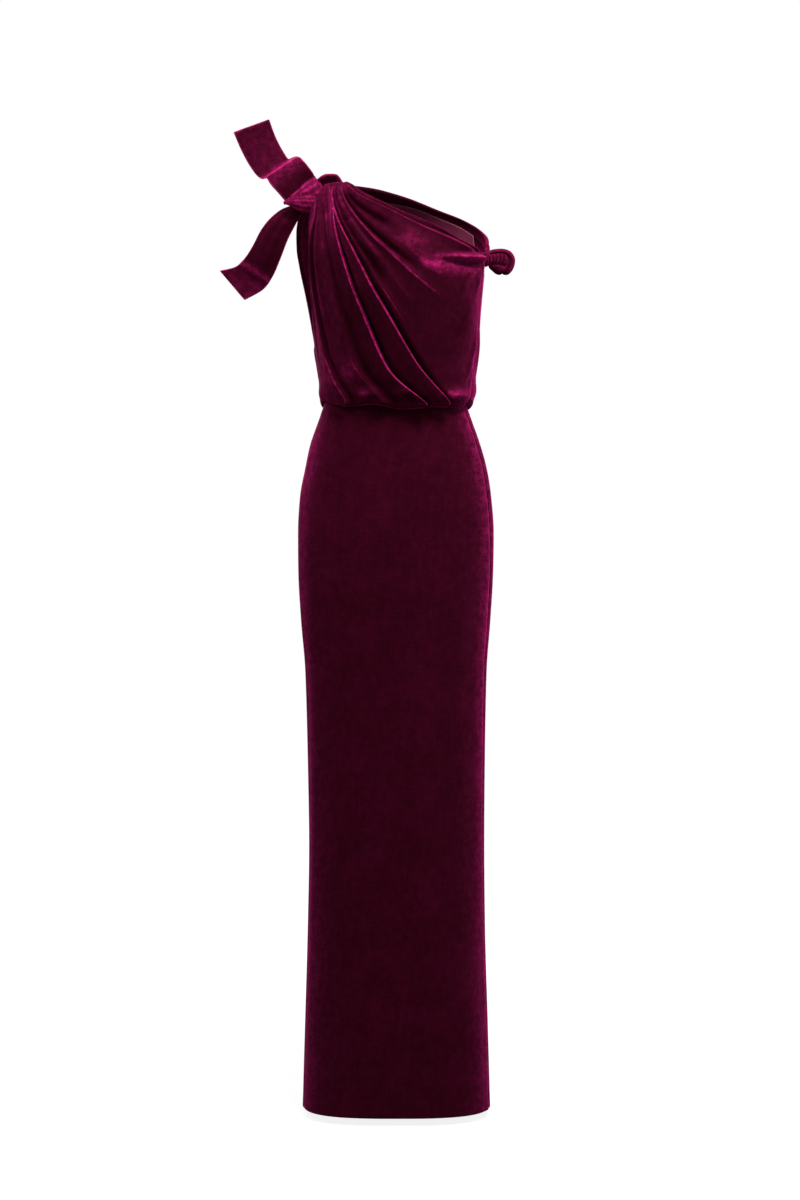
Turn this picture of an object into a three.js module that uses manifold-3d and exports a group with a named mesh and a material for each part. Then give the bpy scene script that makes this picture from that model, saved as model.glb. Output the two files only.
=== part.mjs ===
// A one-shoulder velvet column gown, filled out as if worn, with a knotted shoulder and a small knot
// under the other arm. Millimetres. X runs across the gown, Y from front to back and Z up.
// Everything is worked out with the hem at height 0, and moved at the end so that the origin lies
// where the shoulder holds the gown.
import * as THREE from "three";
import { mergeVertices } from "three/addons/utils/BufferGeometryUtils.js";
import Module from "manifold-3d";

// Driving dimensions
const WALL = 2; // velvet with its backing
const LINING_WALL = 1.2;
const GAP = 0.35; // clear space at a seam or where one piece lies on another
const WAIST_GAP = 0.8; // between the skirt and the turned edge of the blousing, which has longer facets
const WAIST_HEIGHT = 1159;
const WAIST_ALLOWANCE = 8; // height of the turned edge above the waist seam
const BLOUSE_TURN = 8; // height of the turn at the bottom of the blousing
const SIDE_SEAM_RIGHT = 76; // degrees from the front centre
const SIDE_SEAM_LEFT = -86;
const SEAM_HALF_ANGLE = 0.09; // degrees left open on each side of a lengthwise seam
const SHOULDER = new THREE.Vector3(-101, 3, 1518); // underside of the roll over the shoulder

const table = (names, rows) =>
  rows.map((row) => Object.fromEntries(names.map((name, i) => [name, row[i]])));

// Level sections of the form. Half widths to the left and right, depths to the front and back,
// and roundness, where 2 is an ellipse and more is squarer.
const SECTION = ["height", "left", "right", "front", "back", "round"];
const SKIRT = table(SECTION, [
  [0, 153, 153, 121, 121, 2.8],
  [139, 149, 149, 118, 119, 2.8],
  [304, 144.5, 144.5, 112, 115, 2.75],
  [428, 142.5, 143.5, 108, 113, 2.7],
  [552, 144.5, 144.5, 106, 113, 2.6],
  [716, 149, 148, 103, 115, 2.5],
  [799, 156, 154.5, 103, 118, 2.45],
  [881, 160.5, 159.5, 103, 122, 2.4],
  [943, 161, 160.5, 101, 123, 2.35],
  [1005, 157.5, 156, 98, 119, 2.3],
  [1047, 149.5, 149.5, 95, 113, 2.25],
  [1088, 141, 138, 91, 103, 2.2],
  [1129, 126.5, 123, 87, 94, 2.2],
  [1160, 116.5, 112, 84, 89, 2.2],
]);
const BODICE = table(SECTION, [
  [1140, 122, 124, 100, 100, 2.2],
  [1170, 126, 127, 104, 104, 2.2],
  [1200, 129, 129.5, 108, 106, 2.2],
  [1250, 135, 135.5, 115, 109, 2.2],
  [1300, 143, 139, 123, 112, 2.2],
  [1340, 151, 142.5, 127, 114, 2.2],
  [1380, 160, 146.5, 124, 115, 2.2],
  [1410, 165, 151, 116, 113, 2.2],
  [1440, 166, 157, 102, 107, 2.2],
  [1470, 163, 160, 80, 95, 2.2],
  [1495, 155, 160, 55, 76, 2.2],
  [1515, 142, 155, 32, 50, 2.2],
  [1530, 125, 140, 16, 24, 2.2],
]);

// Lines of the draped panels from the shoulder knot to their far end, as pairs of an angle round
// the form and a height, at six stations. "at" is the place across the panel.
const LINE = ["line", "at", "knot", "neck", "bust", "rib", "low", "end"];
const FRONT_LINES = table(LINE, [
  ["armhole", 0, [-79, 1503], [-71.5, 1462], [-66.8, 1400], [-71, 1330], [-84, 1250], [-88, 1166]],
  ["soft fold 1", 0.14, [-79.5, 1507], [-66, 1445], [-65, 1392], [-66.5, 1320], [-64, 1240], [-46, 1156]],
  ["soft fold 2", 0.3, [-80, 1511], [-60.4, 1445], [-52, 1379], [-46, 1300], [-37, 1215], [-14, 1152]],
  ["lower pleat", 0.46, [-79.5, 1514], [-58, 1470], [-42, 1400], [-28, 1305], [-9, 1203], [24, 1149]],
  ["upper pleat", 0.57, [-78.3, 1516], [-56.1, 1465], [-34, 1398], [-13.2, 1310], [15, 1210], [43, 1152]],
  ["corner line", 0.7, [-77, 1517], [-50, 1468], [-22, 1405], [8, 1325], [42, 1240], [76, 1164]],
  ["bust fold", 0.8, [-76, 1517], [-44.5, 1464], [-10, 1398], [20, 1345], [48, 1315], [76, 1305]],
  ["neck fold", 0.93, [-75, 1517], [-47, 1490], [-5, 1460], [29, 1425], [52, 1403], [76, 1385]],
  ["neck edge", 1, [-74, 1518], [-52, 1500], [-10, 1473], [28, 1442], [52, 1412], [76, 1396]],
]);
const BACK_LINES = table(LINE, [
  ["armhole", 0, [262, 1503], [266, 1462], [270, 1400], [271.5, 1330], [275, 1250], [276, 1166]],
  ["soft fold 1", 0.14, [258, 1508], [250, 1450], [250, 1380], [250, 1300], [248, 1225], [246, 1157]],
  ["soft fold 2", 0.28, [255, 1511], [236, 1455], [228, 1385], [222, 1300], [216, 1225], [212, 1154]],
  ["lower pleat", 0.42, [253, 1514], [222, 1460], [206, 1395], [196, 1310], [188, 1225], [180, 1153]],
  ["upper pleat", 0.56, [252, 1516], [208, 1468], [184, 1405], [168, 1320], [156, 1235], [140, 1155]],
  ["corner line", 0.74, [251, 1518], [200, 1478], [165, 1425], [138, 1350], [108, 1260], [76, 1164]],
  ["blade fold", 0.86, [250, 1519], [196, 1488], [158, 1448], [126, 1398], [100, 1355], [76, 1320]],
  ["facing edge", 0.95, [250, 1520.5], [206, 1504], [160, 1493], [131, 1467], [105, 1424], [76, 1382]],
  ["neck edge", 1, [250, 1522], [205, 1515], [160, 1503.5], [130, 1478], [104, 1438], [76, 1397]],
]);
const CORNER_LINE = "corner line"; // ends where the waist meets the right side seam
const FACING_LINE = "facing edge"; // lower edge of the facing inside the back neckline

// Folds raised on the panels: place across, height, reach to either side (as shares of the panel),
// and the shares of the length where a fold has risen and starts to fade.
const FOLD = ["at", "height", "left", "right", "risen", "fades"];
const FRONT_FOLDS = table(FOLD, [
  [0.07, 3, 0.035, 0.03, 0.2, 0.6],
  [0.14, 5, 0.04, 0.025, 0.3, 1],
  [0.22, 2.5, 0.03, 0.025, 0.2, 0.7],
  [0.3, 5, 0.05, 0.03, 0.3, 0.9],
  [0.46, 9, 0.07, 0.022, 0.25, 1],
  [0.57, 10, 0.07, 0.022, 0.25, 1],
  [0.66, 3.5, 0.03, 0.025, 0.15, 0.4],
  [0.8, 6, 0.05, 0.03, 0.2, 0.6],
  [0.93, 4, 0.04, 0.025, 0.2, 0.75],
]);
const BACK_FOLDS = table(FOLD, [
  [0.08, 3, 0.04, 0.04, 0.25, 0.7],
  [0.14, 4.5, 0.05, 0.04, 0.3, 1],
  [0.28, 6, 0.06, 0.04, 0.3, 1],
  [0.42, 7, 0.06, 0.035, 0.3, 1],
  [0.56, 7, 0.06, 0.035, 0.3, 1],
  [0.86, 4, 0.04, 0.03, 0.25, 0.7],
]);

// The free ends of the tie, as cross lines from one long edge to the other.
const RIBBON = ["edgeX", "edgeY", "edgeZ", "otherX", "otherY", "otherZ", "bow"];
const UPPER_TAIL = table(RIBBON, [
  [-270, 10, 1606, -211, 18, 1629, 0],
  [-257, 14, 1576, -201, 22, 1602, 3],
  [-243, 11, 1550, -189, 20, 1578, 5],
  [-229, 3, 1531, -177, 14, 1562, 4],
  [-221, -9, 1525, -168, 4, 1564, 2],
  [-214, -23, 1524, -160, -12, 1561, 0],
  [-207, -33, 1513, -152, -26, 1552, -2],
  [-195, -36, 1499, -144, -30, 1542, -3],
  [-180, -32, 1483, -136, -26, 1531, 0],
  [-166, -22, 1474, -132, -18, 1521, 3],
]);
const LOWER_TAIL = table(RIBBON, [
  [-170, -14, 1482, -150, -18, 1470, 3],
  [-188, -18, 1474, -157, -24, 1462, 5],
  [-207, -20, 1459, -168, -28, 1442, 6],
  [-222, -18, 1441, -178, -28, 1422, 5],
  [-236, -12, 1416, -190, -24, 1392, 4],
  [-250, -4, 1396, -202, -16, 1366, 3],
  [-268, 6, 1382, -218, -4, 1345, 0],
  [-293, 12, 1377, -251, 6, 1327, -2],
]);

// Rolls and wraps, as sections carried along a path: the middle, the half width along the "across"
// direction of the piece, and the half thickness.
const SPINE = ["x", "y", "z", "halfWidth", "halfThickness"];
const SHOULDER_WRAP = table(SPINE, [
  [-160, -2, 1497, 19, 15],
  [-156, -3, 1498, 27, 24],
  [-149, -4, 1500, 31, 28],
  [-140, -4, 1502, 30, 28],
  [-132, -3, 1504, 27, 25],
  [-127, -2, 1505, 22, 20],
]);
const SHOULDER_ROLL = table(SPINE, [
  [-95, 30, 1512, 12, 7],
  [-95, 20, 1523, 16, 8],
  [-99, 6, 1529, 18, 8],
  [-106, -10, 1526, 17, 8],
  [-115, -20, 1519, 14, 8],
  [-123, -24, 1510, 11, 7],
]);
const SIDE_WRAP = table(SPINE, [
  [136, -20, 1391, 9, 8],
  [144, -19, 1391, 12, 11],
  [154, -17, 1392, 11, 11],
  [168, -14, 1395, 11.5, 11],
  [182, -9, 1395, 11, 10],
  [190, -5, 1393, 7, 7],
]);
const SIDE_LOOP = table(SPINE, [
  [160, 4, 1405, 7, 6],
  [172, 4, 1407, 7, 7.5],
  [183, 2, 1405, 7, 8],
  [187, 0, 1396, 6.5, 9],
  [185, -1, 1385, 7, 8],
  [178, -3, 1377, 6, 6.5],
]);
const SIDE_END = table(SPINE, [
  [154, -8, 1385, 5, 5],
  [163, -8, 1380, 7, 7],
  [172, -7, 1376, 7, 7],
  [180, -5, 1376, 5, 5],
]);
const SHOULDER_PLEATS = 7;
const SIDE_PLEATS = 6;
const PLEAT_DEPTH = 0.09; // share of the section
const PLEAT_TWIST = 0.7; // radians that the pleats turn from one end of a roll to the other

// Counts of facets
const SKIRT_ROWS = 18;
const COLUMN_ANGLE = 10; // widest, in degrees at the waist
const FRONT_ROWS = 15;
const FRONT_COLUMN = 0.045; // widest share of the panel
const BACK_ROWS = 11;
const BACK_COLUMN = 0.06;
const LINING_ROWS = 8;
const NARROWEST_COLUMN = 0.016;
const BLOUSE_TURN_ROWS = 4;
const BLOUSE_LEG_ROWS = 1;
const TAIL_ROWS = 14;
const TAIL_COLUMNS = 4;
const ROLL_SIDES = 21;
const ROLL_STEPS = 12;
const STEP_ASIDE = 0.02; // share of a ribbon or roll over which its direction is measured

// Curves through tables

// A smooth curve through (place, value) pairs that never swings past its neighbours.
function smooth(places, values, place) {
  const last = places.length - 1;
  const x = Math.min(Math.max(place, places[0]), places[last]);
  let i = 0;
  while (i < last - 1 && x > places[i + 1]) i++;
  const rise = (k) => (values[k + 1] - values[k]) / (places[k + 1] - places[k]);
  const slope = (k) => {
    if (k === 0) return rise(0);
    if (k === last) return rise(last - 1);
    const a = rise(k - 1);
    const b = rise(k);
    return a * b <= 0 ? 0 : (2 * a * b) / (a + b);
  };
  const h = places[i + 1] - places[i];
  const s = (x - places[i]) / h;
  return (
    (2 * s ** 3 - 3 * s ** 2 + 1) * values[i] +
    (s ** 3 - 2 * s ** 2 + s) * h * slope(i) +
    (3 * s ** 2 - 2 * s ** 3) * values[i + 1] +
    (s ** 3 - s ** 2) * h * slope(i + 1)
  );
}

const radians = (degrees) => (degrees * Math.PI) / 180;
const ramp = (from, to, x) => THREE.MathUtils.smoothstep(x, from, to);
const steps = (count) => Array.from({ length: count + 1 }, (_, i) => i / count);

// Distance from the upright axis to the form, at an angle from the front centre and a height.
function reach(sections, angle, height) {
  const heights = sections.map((section) => section.height);
  const value = (name) => smooth(heights, sections.map((section) => section[name]), height);
  const across = Math.sin(radians(angle));
  const away = Math.cos(radians(angle));
  const halfWidth = value(across > 0 ? "right" : "left");
  const depth = value(away > 0 ? "front" : "back");
  const power = value("round");
  const sum = Math.abs(across / halfWidth) ** power + Math.abs(away / depth) ** power;
  return sum ** (-1 / power);
}

function around(radius, angle, height) {
  return new THREE.Vector3(
    radius * Math.sin(radians(angle)),
    -radius * Math.cos(radians(angle)),
    height,
  );
}

// A point on the form and the direction that the form faces there.
function onForm(sections, angle, height) {
  const point = (a, h) => around(reach(sections, a, h), a, h);
  const round = point(angle + 0.5, height).sub(point(angle - 0.5, height));
  const up = point(angle, height + 1).sub(point(angle, height - 1));
  return { point: point(angle, height), normal: round.cross(up).normalize() };
}

// Sheets of cloth

// A sheet from a grid of places: its points, the direction it faces at each, how far folds lift it,
// and its triangles. Places for which has(i, j) is false are left out.
function sheet(columns, rows, has, at, lift) {
  const index = new Map();
  const points = [];
  const normals = [];
  const lifts = [];
  const key = (i, j) => i * (rows + 1) + j;
  for (let i = 0; i <= columns; i++)
    for (let j = 0; j <= rows; j++)
      if (has(i, j)) {
        const { point, normal } = at(i, j);
        index.set(key(i, j), points.length);
        points.push(point);
        normals.push(normal);
        lifts.push(lift(i, j));
      }
  const triangles = [];
  for (let i = 0; i < columns; i++)
    for (let j = 0; j < rows; j++) {
      const corners = [key(i, j), key(i + 1, j), key(i + 1, j + 1), key(i, j + 1)];
      const [a, b, c, d] = corners.map((corner) => index.get(corner));
      if ([a, b, c, d].includes(undefined)) continue;
      triangles.push([a, b, c], [a, c, d]);
    }
  const facing = triangles.reduce((sum, [a, b, c]) => {
    const ab = points[b].clone().sub(points[a]);
    const ac = points[c].clone().sub(points[a]);
    return sum + ab.cross(ac).dot(normals[a]);
  }, 0);
  if (facing < 0) triangles.forEach((triangle) => triangle.reverse());
  return { points, normals, lifts, triangles };
}

// The closed wall between two distances from a sheet, with a rim along every open edge, which may
// be spread outwards along the sheet.
function wall({ points, normals, lifts, triangles }, outside, inside, spread = 0) {
  const count = points.length;
  const edges = new Set(triangles.flatMap(([a, b, c]) => [`${a},${b}`, `${b},${c}`, `${c},${a}`]));
  const aside = points.map(() => new THREE.Vector3());
  const faces = [];
  for (const [a, b, c] of triangles) {
    faces.push(a, b, c, c + count, b + count, a + count);
    for (const [from, to] of [[a, b], [b, c], [c, a]])
      if (!edges.has(`${to},${from}`)) {
        faces.push(to, from, from + count, to, from + count, to + count);
        const along = points[to].clone().sub(points[from]).normalize();
        for (const end of [from, to]) aside[end].add(along.clone().cross(normals[end]));
      }
  }
  const moved = (distance) =>
    points.map((point, i) =>
      point
        .clone()
        .addScaledVector(normals[i], lifts[i] + distance)
        .addScaledVector(aside[i].clone().normalize(), spread),
    );
  const positions = [...moved(outside), ...moved(inside)].flatMap((point) => point.toArray());
  const geometry = new THREE.BufferGeometry();
  geometry.setAttribute("position", new THREE.Float32BufferAttribute(positions, 3));
  geometry.setIndex(faces);
  return geometry;
}

const everywhere = () => true;
const flat = () => 0;

// Skirt panels: level rings between two seams.
function skirtPanel(fromAngle, toAngle) {
  const columns = Math.round((toAngle - fromAngle) / COLUMN_ANGLE);
  const angleAt = (i) =>
    THREE.MathUtils.lerp(fromAngle + SEAM_HALF_ANGLE, toAngle - SEAM_HALF_ANGLE, i / columns);
  const at = (i, j) => {
    const height = (WAIST_HEIGHT * j) / SKIRT_ROWS;
    return onForm(SKIRT, angleAt(i), height);
  };
  return sheet(columns, SKIRT_ROWS, everywhere, at, flat);
}

// Draped bodice panels

// The angle and height on a panel at a place across and a share of the way from the knot.
function drapeAt(lines, across, along) {
  const places = lines.map((line) => line.at);
  const stations = LINE.slice(2);
  const stationPlaces = steps(stations.length - 1);
  const value = (k) =>
    smooth(
      places,
      lines.map((line) => smooth(stationPlaces, stations.map((name) => line[name][k]), along)),
      across,
    );
  return { angle: value(0), height: value(1) };
}

// Height of the folds: a slow rise to a crest on the left, a sharp fall into a trough on the right.
function foldHeight(folds, across, along) {
  let height = 0;
  for (const fold of folds) {
    const aside = across - fold.at;
    const width = aside < 0 ? fold.left : fold.right;
    const crest = Math.exp(-((aside / width) ** 2));
    const trough = Math.exp(-(((aside - 2 * fold.right) / fold.right) ** 2));
    const strength = ramp(0, fold.risen, along) * (1 - 0.6 * ramp(fold.fades - 0.2, 1.1, along));
    height += fold.height * strength * (crest - 0.35 * trough);
  }
  return height;
}

// Places of the columns across a panel: every line, the crest and foot of each fold, and the spaces.
function columnPlaces(lines, folds, widest) {
  const wanted = lines.map((line) => line.at);
  for (const fold of folds) wanted.push(fold.at, fold.at - fold.left, fold.at + fold.right);
  const sorted = wanted.filter((place) => place >= 0 && place <= 1).sort((a, b) => a - b);
  const fixed = new Set(lines.map((line) => line.at));
  const kept = [];
  for (const place of sorted) {
    const previous = kept[kept.length - 1];
    if (previous === undefined || place - previous > NARROWEST_COLUMN) kept.push(place);
    else if (fixed.has(place)) kept[kept.length - 1] = place;
  }
  const places = [kept[0]];
  const endAngle = (place) => drapeAt(lines, place, 1).angle;
  for (const place of kept.slice(1)) {
    const from = places[places.length - 1];
    const turned = Math.abs(endAngle(place) - endAngle(from));
    const parts = Math.ceil(Math.max((place - from) / widest, turned / COLUMN_ANGLE));
    for (let k = 1; k <= parts; k++) places.push(from + ((place - from) * k) / parts);
  }
  return places;
}

// A draped panel between its two seams. Columns that end at the waist go on round the turn of the
// blousing and up inside it, close to the skirt.
function drapedPanel(lines, folds, rows, widest, seamLeft, seamRight) {
  const low = Math.min(seamLeft, seamRight) + SEAM_HALF_ANGLE;
  const high = Math.max(seamLeft, seamRight) - SEAM_HALF_ANGLE;
  const places = columnPlaces(lines, folds, widest);
  const corner = places.indexOf(lines.find((line) => line.line === CORNER_LINE).at);
  const turn = (place, step) => {
    const end = drapeAt(lines, place, 1);
    const angle = THREE.MathUtils.clamp(end.angle, low, high);
    const outer = reach(BODICE, angle, end.height);
    const level = onForm(BODICE, angle, end.height).normal.setZ(0).normalize();
    const skirtAt = (height) => reach(SKIRT, angle, height) + WAIST_GAP;
    if (step <= BLOUSE_TURN_ROWS) {
      const sweep = (Math.PI * step) / BLOUSE_TURN_ROWS;
      const height = end.height - BLOUSE_TURN * Math.sin(sweep);
      const inner = skirtAt(height);
      const radius = inner + ((outer - inner) * (1 + Math.cos(sweep))) / 2;
      const normal = level.multiplyScalar(Math.cos(sweep)).setZ(-Math.sin(sweep)).normalize();
      return { point: around(radius, angle, height), normal };
    }
    const share = (step - BLOUSE_TURN_ROWS) / BLOUSE_LEG_ROWS;
    const height = THREE.MathUtils.lerp(end.height, WAIST_HEIGHT + WAIST_ALLOWANCE, share);
    return { point: around(skirtAt(height), angle, height), normal: level.negate() };
  };
  const at = (i, j) => {
    if (j > rows) return turn(places[i], j - rows);
    const { angle, height } = drapeAt(lines, places[i], j / rows);
    return onForm(BODICE, THREE.MathUtils.clamp(angle, low, high), height);
  };
  const lift = (i, j) => {
    const edge = ramp(0, 0.03, places[i]) * (1 - ramp(0.97, 1, places[i]));
    const seam = i > corner ? 1 - ramp(0.8, 1, j / rows) : 1;
    const under = 1 - ramp(rows, rows + BLOUSE_TURN_ROWS / 2, j);
    return foldHeight(folds, places[i], j / rows) * edge * seam * under;
  };
  const allRows = rows + BLOUSE_TURN_ROWS + BLOUSE_LEG_ROWS;
  const has = (i, j) => j <= rows || i <= corner;
  return { places, rows, corner, allRows, has, at, lift };
}

function drapedSheet(panel) {
  return sheet(panel.places.length - 1, panel.allRows, panel.has, panel.at, panel.lift);
}

// The part of a draped panel's own points between two columns and two rows.
function panelStretch(panel, fromPlace, toPlace, fromRow, toRow) {
  const whole = drapedSheet(panel);
  const keep = (i, j) =>
    panel.places[i] >= fromPlace && panel.places[i] <= toPlace && j >= fromRow && j <= toRow;
  const used = new Map();
  let k = 0;
  for (let i = 0; i < panel.places.length; i++)
    for (let j = 0; j <= panel.allRows; j++)
      if (panel.has(i, j)) {
        if (keep(i, j)) used.set(k, used.size);
        k++;
      }
  const pick = (list) => [...used.keys()].map((index) => list[index]);
  return {
    points: pick(whole.points),
    normals: pick(whole.normals),
    lifts: pick(whole.lifts),
    triangles: whole.triangles
      .filter((triangle) => triangle.every((index) => used.has(index)))
      .map((triangle) => triangle.map((index) => used.get(index))),
  };
}

// Ribbons, rolls and wraps

function ribbonSheet(crossLines) {
  const places = steps(crossLines.length - 1);
  const value = (name, along) => smooth(places, crossLines.map((line) => line[name]), along);
  const at = (i, j) => {
    const pointAt = (across, along) => {
      const edge = new THREE.Vector3(...["edgeX", "edgeY", "edgeZ"].map((n) => value(n, along)));
      const other = ["otherX", "otherY", "otherZ"].map((n) => value(n, along));
      const point = edge.lerp(new THREE.Vector3(...other), across);
      point.y -= value("bow", along) * Math.sin(Math.PI * across);
      return point;
    };
    const across = i / TAIL_COLUMNS;
    const along = j / TAIL_ROWS;
    const sideways = pointAt(across + STEP_ASIDE, along).sub(pointAt(across - STEP_ASIDE, along));
    const onward = pointAt(across, along + STEP_ASIDE).sub(pointAt(across, along - STEP_ASIDE));
    return { point: pointAt(across, along), normal: sideways.cross(onward).normalize() };
  };
  return sheet(TAIL_COLUMNS, TAIL_ROWS, everywhere, at, flat);
}

// A closed body with pleated sides, carried along a path and rounded off at both ends.
function roll(spine, across, pleats, grow) {
  const places = steps(spine.length - 1);
  const value = (name, along) => smooth(places, spine.map((row) => row[name]), along);
  const middle = (along) => new THREE.Vector3(...["x", "y", "z"].map((n) => value(n, along)));
  const positions = [];
  const faces = [];
  for (let j = 0; j <= ROLL_STEPS; j++) {
    const along = j / ROLL_STEPS;
    const centre = middle(along);
    const next = middle(Math.min(along + STEP_ASIDE, 1));
    const ahead = next.sub(middle(Math.max(along - STEP_ASIDE, 0))).normalize();
    const side = across.clone().addScaledVector(ahead, -across.dot(ahead)).normalize();
    const up = ahead.clone().cross(side);
    if (j === 0) centre.addScaledVector(ahead, -grow);
    if (j === ROLL_STEPS) centre.addScaledVector(ahead, grow);
    for (let i = 0; i < ROLL_SIDES; i++) {
      const turn = (2 * Math.PI * i) / ROLL_SIDES;
      const pleat = 1 + PLEAT_DEPTH * Math.cos(pleats * (turn + PLEAT_TWIST * along));
      const wide = value("halfWidth", along) * pleat + grow;
      const thick = value("halfThickness", along) * pleat + grow;
      const point = centre
        .clone()
        .addScaledVector(side, wide * Math.cos(turn))
        .addScaledVector(up, thick * Math.sin(turn));
      positions.push(...point.toArray());
    }
  }
  const ringAt = (j, i) => j * ROLL_SIDES + (i % ROLL_SIDES);
  for (let j = 0; j < ROLL_STEPS; j++)
    for (let i = 0; i < ROLL_SIDES; i++) {
      const [a, b, c, d] = [ringAt(j, i), ringAt(j, i + 1), ringAt(j + 1, i + 1), ringAt(j + 1, i)];
      faces.push(a, b, c, a, c, d);
    }
  for (const j of [0, ROLL_STEPS]) {
    const centre = new THREE.Vector3();
    for (let i = 0; i < ROLL_SIDES; i++)
      centre.add(new THREE.Vector3().fromArray(positions, 3 * ringAt(j, i)));
    centre.divideScalar(ROLL_SIDES);
    const tip = positions.length / 3;
    positions.push(...centre.toArray());
    for (let i = 0; i < ROLL_SIDES; i++)
      if (j === 0) faces.push(tip, ringAt(j, i + 1), ringAt(j, i));
      else faces.push(tip, ringAt(j, i), ringAt(j, i + 1));
  }
  const geometry = new THREE.BufferGeometry();
  geometry.setAttribute("position", new THREE.Float32BufferAttribute(positions, 3));
  geometry.setIndex(faces);
  return geometry;
}

// Cutting one body clear of its neighbours

const wasm = await Module();
wasm.setup();

function solidOf(geometry) {
  const merged = mergeVertices(geometry, 1e-4);
  const solid = new wasm.Manifold(
    new wasm.Mesh({
      numProp: 3,
      vertProperties: merged.attributes.position.array,
      triVerts: new Uint32Array(merged.index.array),
    }),
  );
  return solid;
}

function geometryOf(solid) {
  const { vertProperties, triVerts } = solid.getMesh();
  const geometry = new THREE.BufferGeometry();
  geometry.setAttribute("position", new THREE.BufferAttribute(vertProperties, 3));
  geometry.setIndex(new THREE.BufferAttribute(triVerts, 1));
  return geometry;
}

// The largest body left of a geometry after its neighbours are cut away.
function clearOf(geometry, neighbours) {
  let solid = solidOf(geometry);
  for (const neighbour of neighbours) solid = solid.subtract(solidOf(neighbour));
  const bodies = solid.decompose().sort((a, b) => b.volume() - a.volume());
  return geometryOf(bodies[0]);
}

// The pieces

const VELVET = { color: 0x5a0a2c, roughness: 0.85, metalness: 0 };
const LINING = { color: 0x4c172c, roughness: 0.6, metalness: 0 };
const gown = new THREE.Group();
gown.position.copy(SHOULDER).negate();

function addPiece(name, geometry, look) {
  const plain = geometry.index ? geometry.toNonIndexed() : geometry;
  plain.computeVertexNormals();
  const mesh = new THREE.Mesh(plain, new THREE.MeshStandardMaterial(look));
  mesh.name = name;
  gown.add(mesh);
}

const frontPanel = drapedPanel(
  FRONT_LINES, FRONT_FOLDS, FRONT_ROWS, FRONT_COLUMN, SIDE_SEAM_LEFT, SIDE_SEAM_RIGHT);
const backPanel = drapedPanel(
  BACK_LINES, BACK_FOLDS, BACK_ROWS, BACK_COLUMN, SIDE_SEAM_LEFT + 360, SIDE_SEAM_RIGHT);
const front = drapedSheet(frontPanel);
const back = drapedSheet(backPanel);
addPiece("bodice_front", wall(front, 0, -WALL), VELVET);
addPiece("bodice_back", wall(back, 0, -WALL), VELVET);

const facingPlace = BACK_LINES.find((line) => line.line === FACING_LINE).at;
const facing = panelStretch(backPanel, facingPlace, 1, 1, BACK_ROWS - 1);
const lining = panelStretch(backPanel, 0, facingPlace, 1, LINING_ROWS);
const inside = -WALL - GAP;
const insideFacing = inside - WALL - GAP;
addPiece("back_neck_facing", wall(facing, inside, inside - WALL), VELVET);
addPiece("back_lining", wall(lining, insideFacing, insideFacing - LINING_WALL), LINING);

addPiece("skirt_front", wall(skirtPanel(SIDE_SEAM_LEFT, SIDE_SEAM_RIGHT), 0, -WALL), VELVET);
addPiece("skirt_back_right", wall(skirtPanel(SIDE_SEAM_RIGHT, 180), 0, -WALL), VELVET);
addPiece("skirt_back_left", wall(skirtPanel(180, SIDE_SEAM_LEFT + 360), 0, -WALL), VELVET);

const cleared = [
  wall(front, GAP, -WALL - GAP, GAP),
  wall(back, GAP, insideFacing - LINING_WALL - GAP, GAP),
];
const upright = new THREE.Vector3(0, 0, 1);
const crosswise = new THREE.Vector3(1, 0, 0);
function addRoll(name, spine, across, pleats) {
  addPiece(name, clearOf(roll(spine, across, pleats, 0), cleared), VELVET);
  cleared.push(roll(spine, across, pleats, GAP));
}
function addTail(name, crossLines) {
  const tail = ribbonSheet(crossLines);
  addPiece(name, clearOf(wall(tail, WALL / 2, -WALL / 2), cleared), VELVET);
  cleared.push(wall(tail, WALL / 2 + GAP, -WALL / 2 - GAP, GAP));
}
addRoll("shoulder_knot_wrap", SHOULDER_WRAP, upright, SHOULDER_PLEATS);
addRoll("shoulder_knot_roll", SHOULDER_ROLL, crosswise, SHOULDER_PLEATS);
addRoll("side_knot_wrap", SIDE_WRAP, upright, SIDE_PLEATS);
addRoll("side_knot_loop", SIDE_LOOP, new THREE.Vector3(0, 1, 0), SIDE_PLEATS);
addRoll("side_knot_end", SIDE_END, crosswise, 0);
addTail("tail_upper", UPPER_TAIL);
addTail("tail_lower", LOWER_TAIL);

export default gown;
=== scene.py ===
# %% [markdown]
# One-shoulder velvet column gown, filled out as if worn.
# The lesson builds each piece of cloth as a surface worked out with numpy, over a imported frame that
# already has every piece at its real size. The frame's shapes stay underneath, and each piece here
# stands in for one of them with finer folds and a velvet finish.

# %% Load the frame
import math

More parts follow.
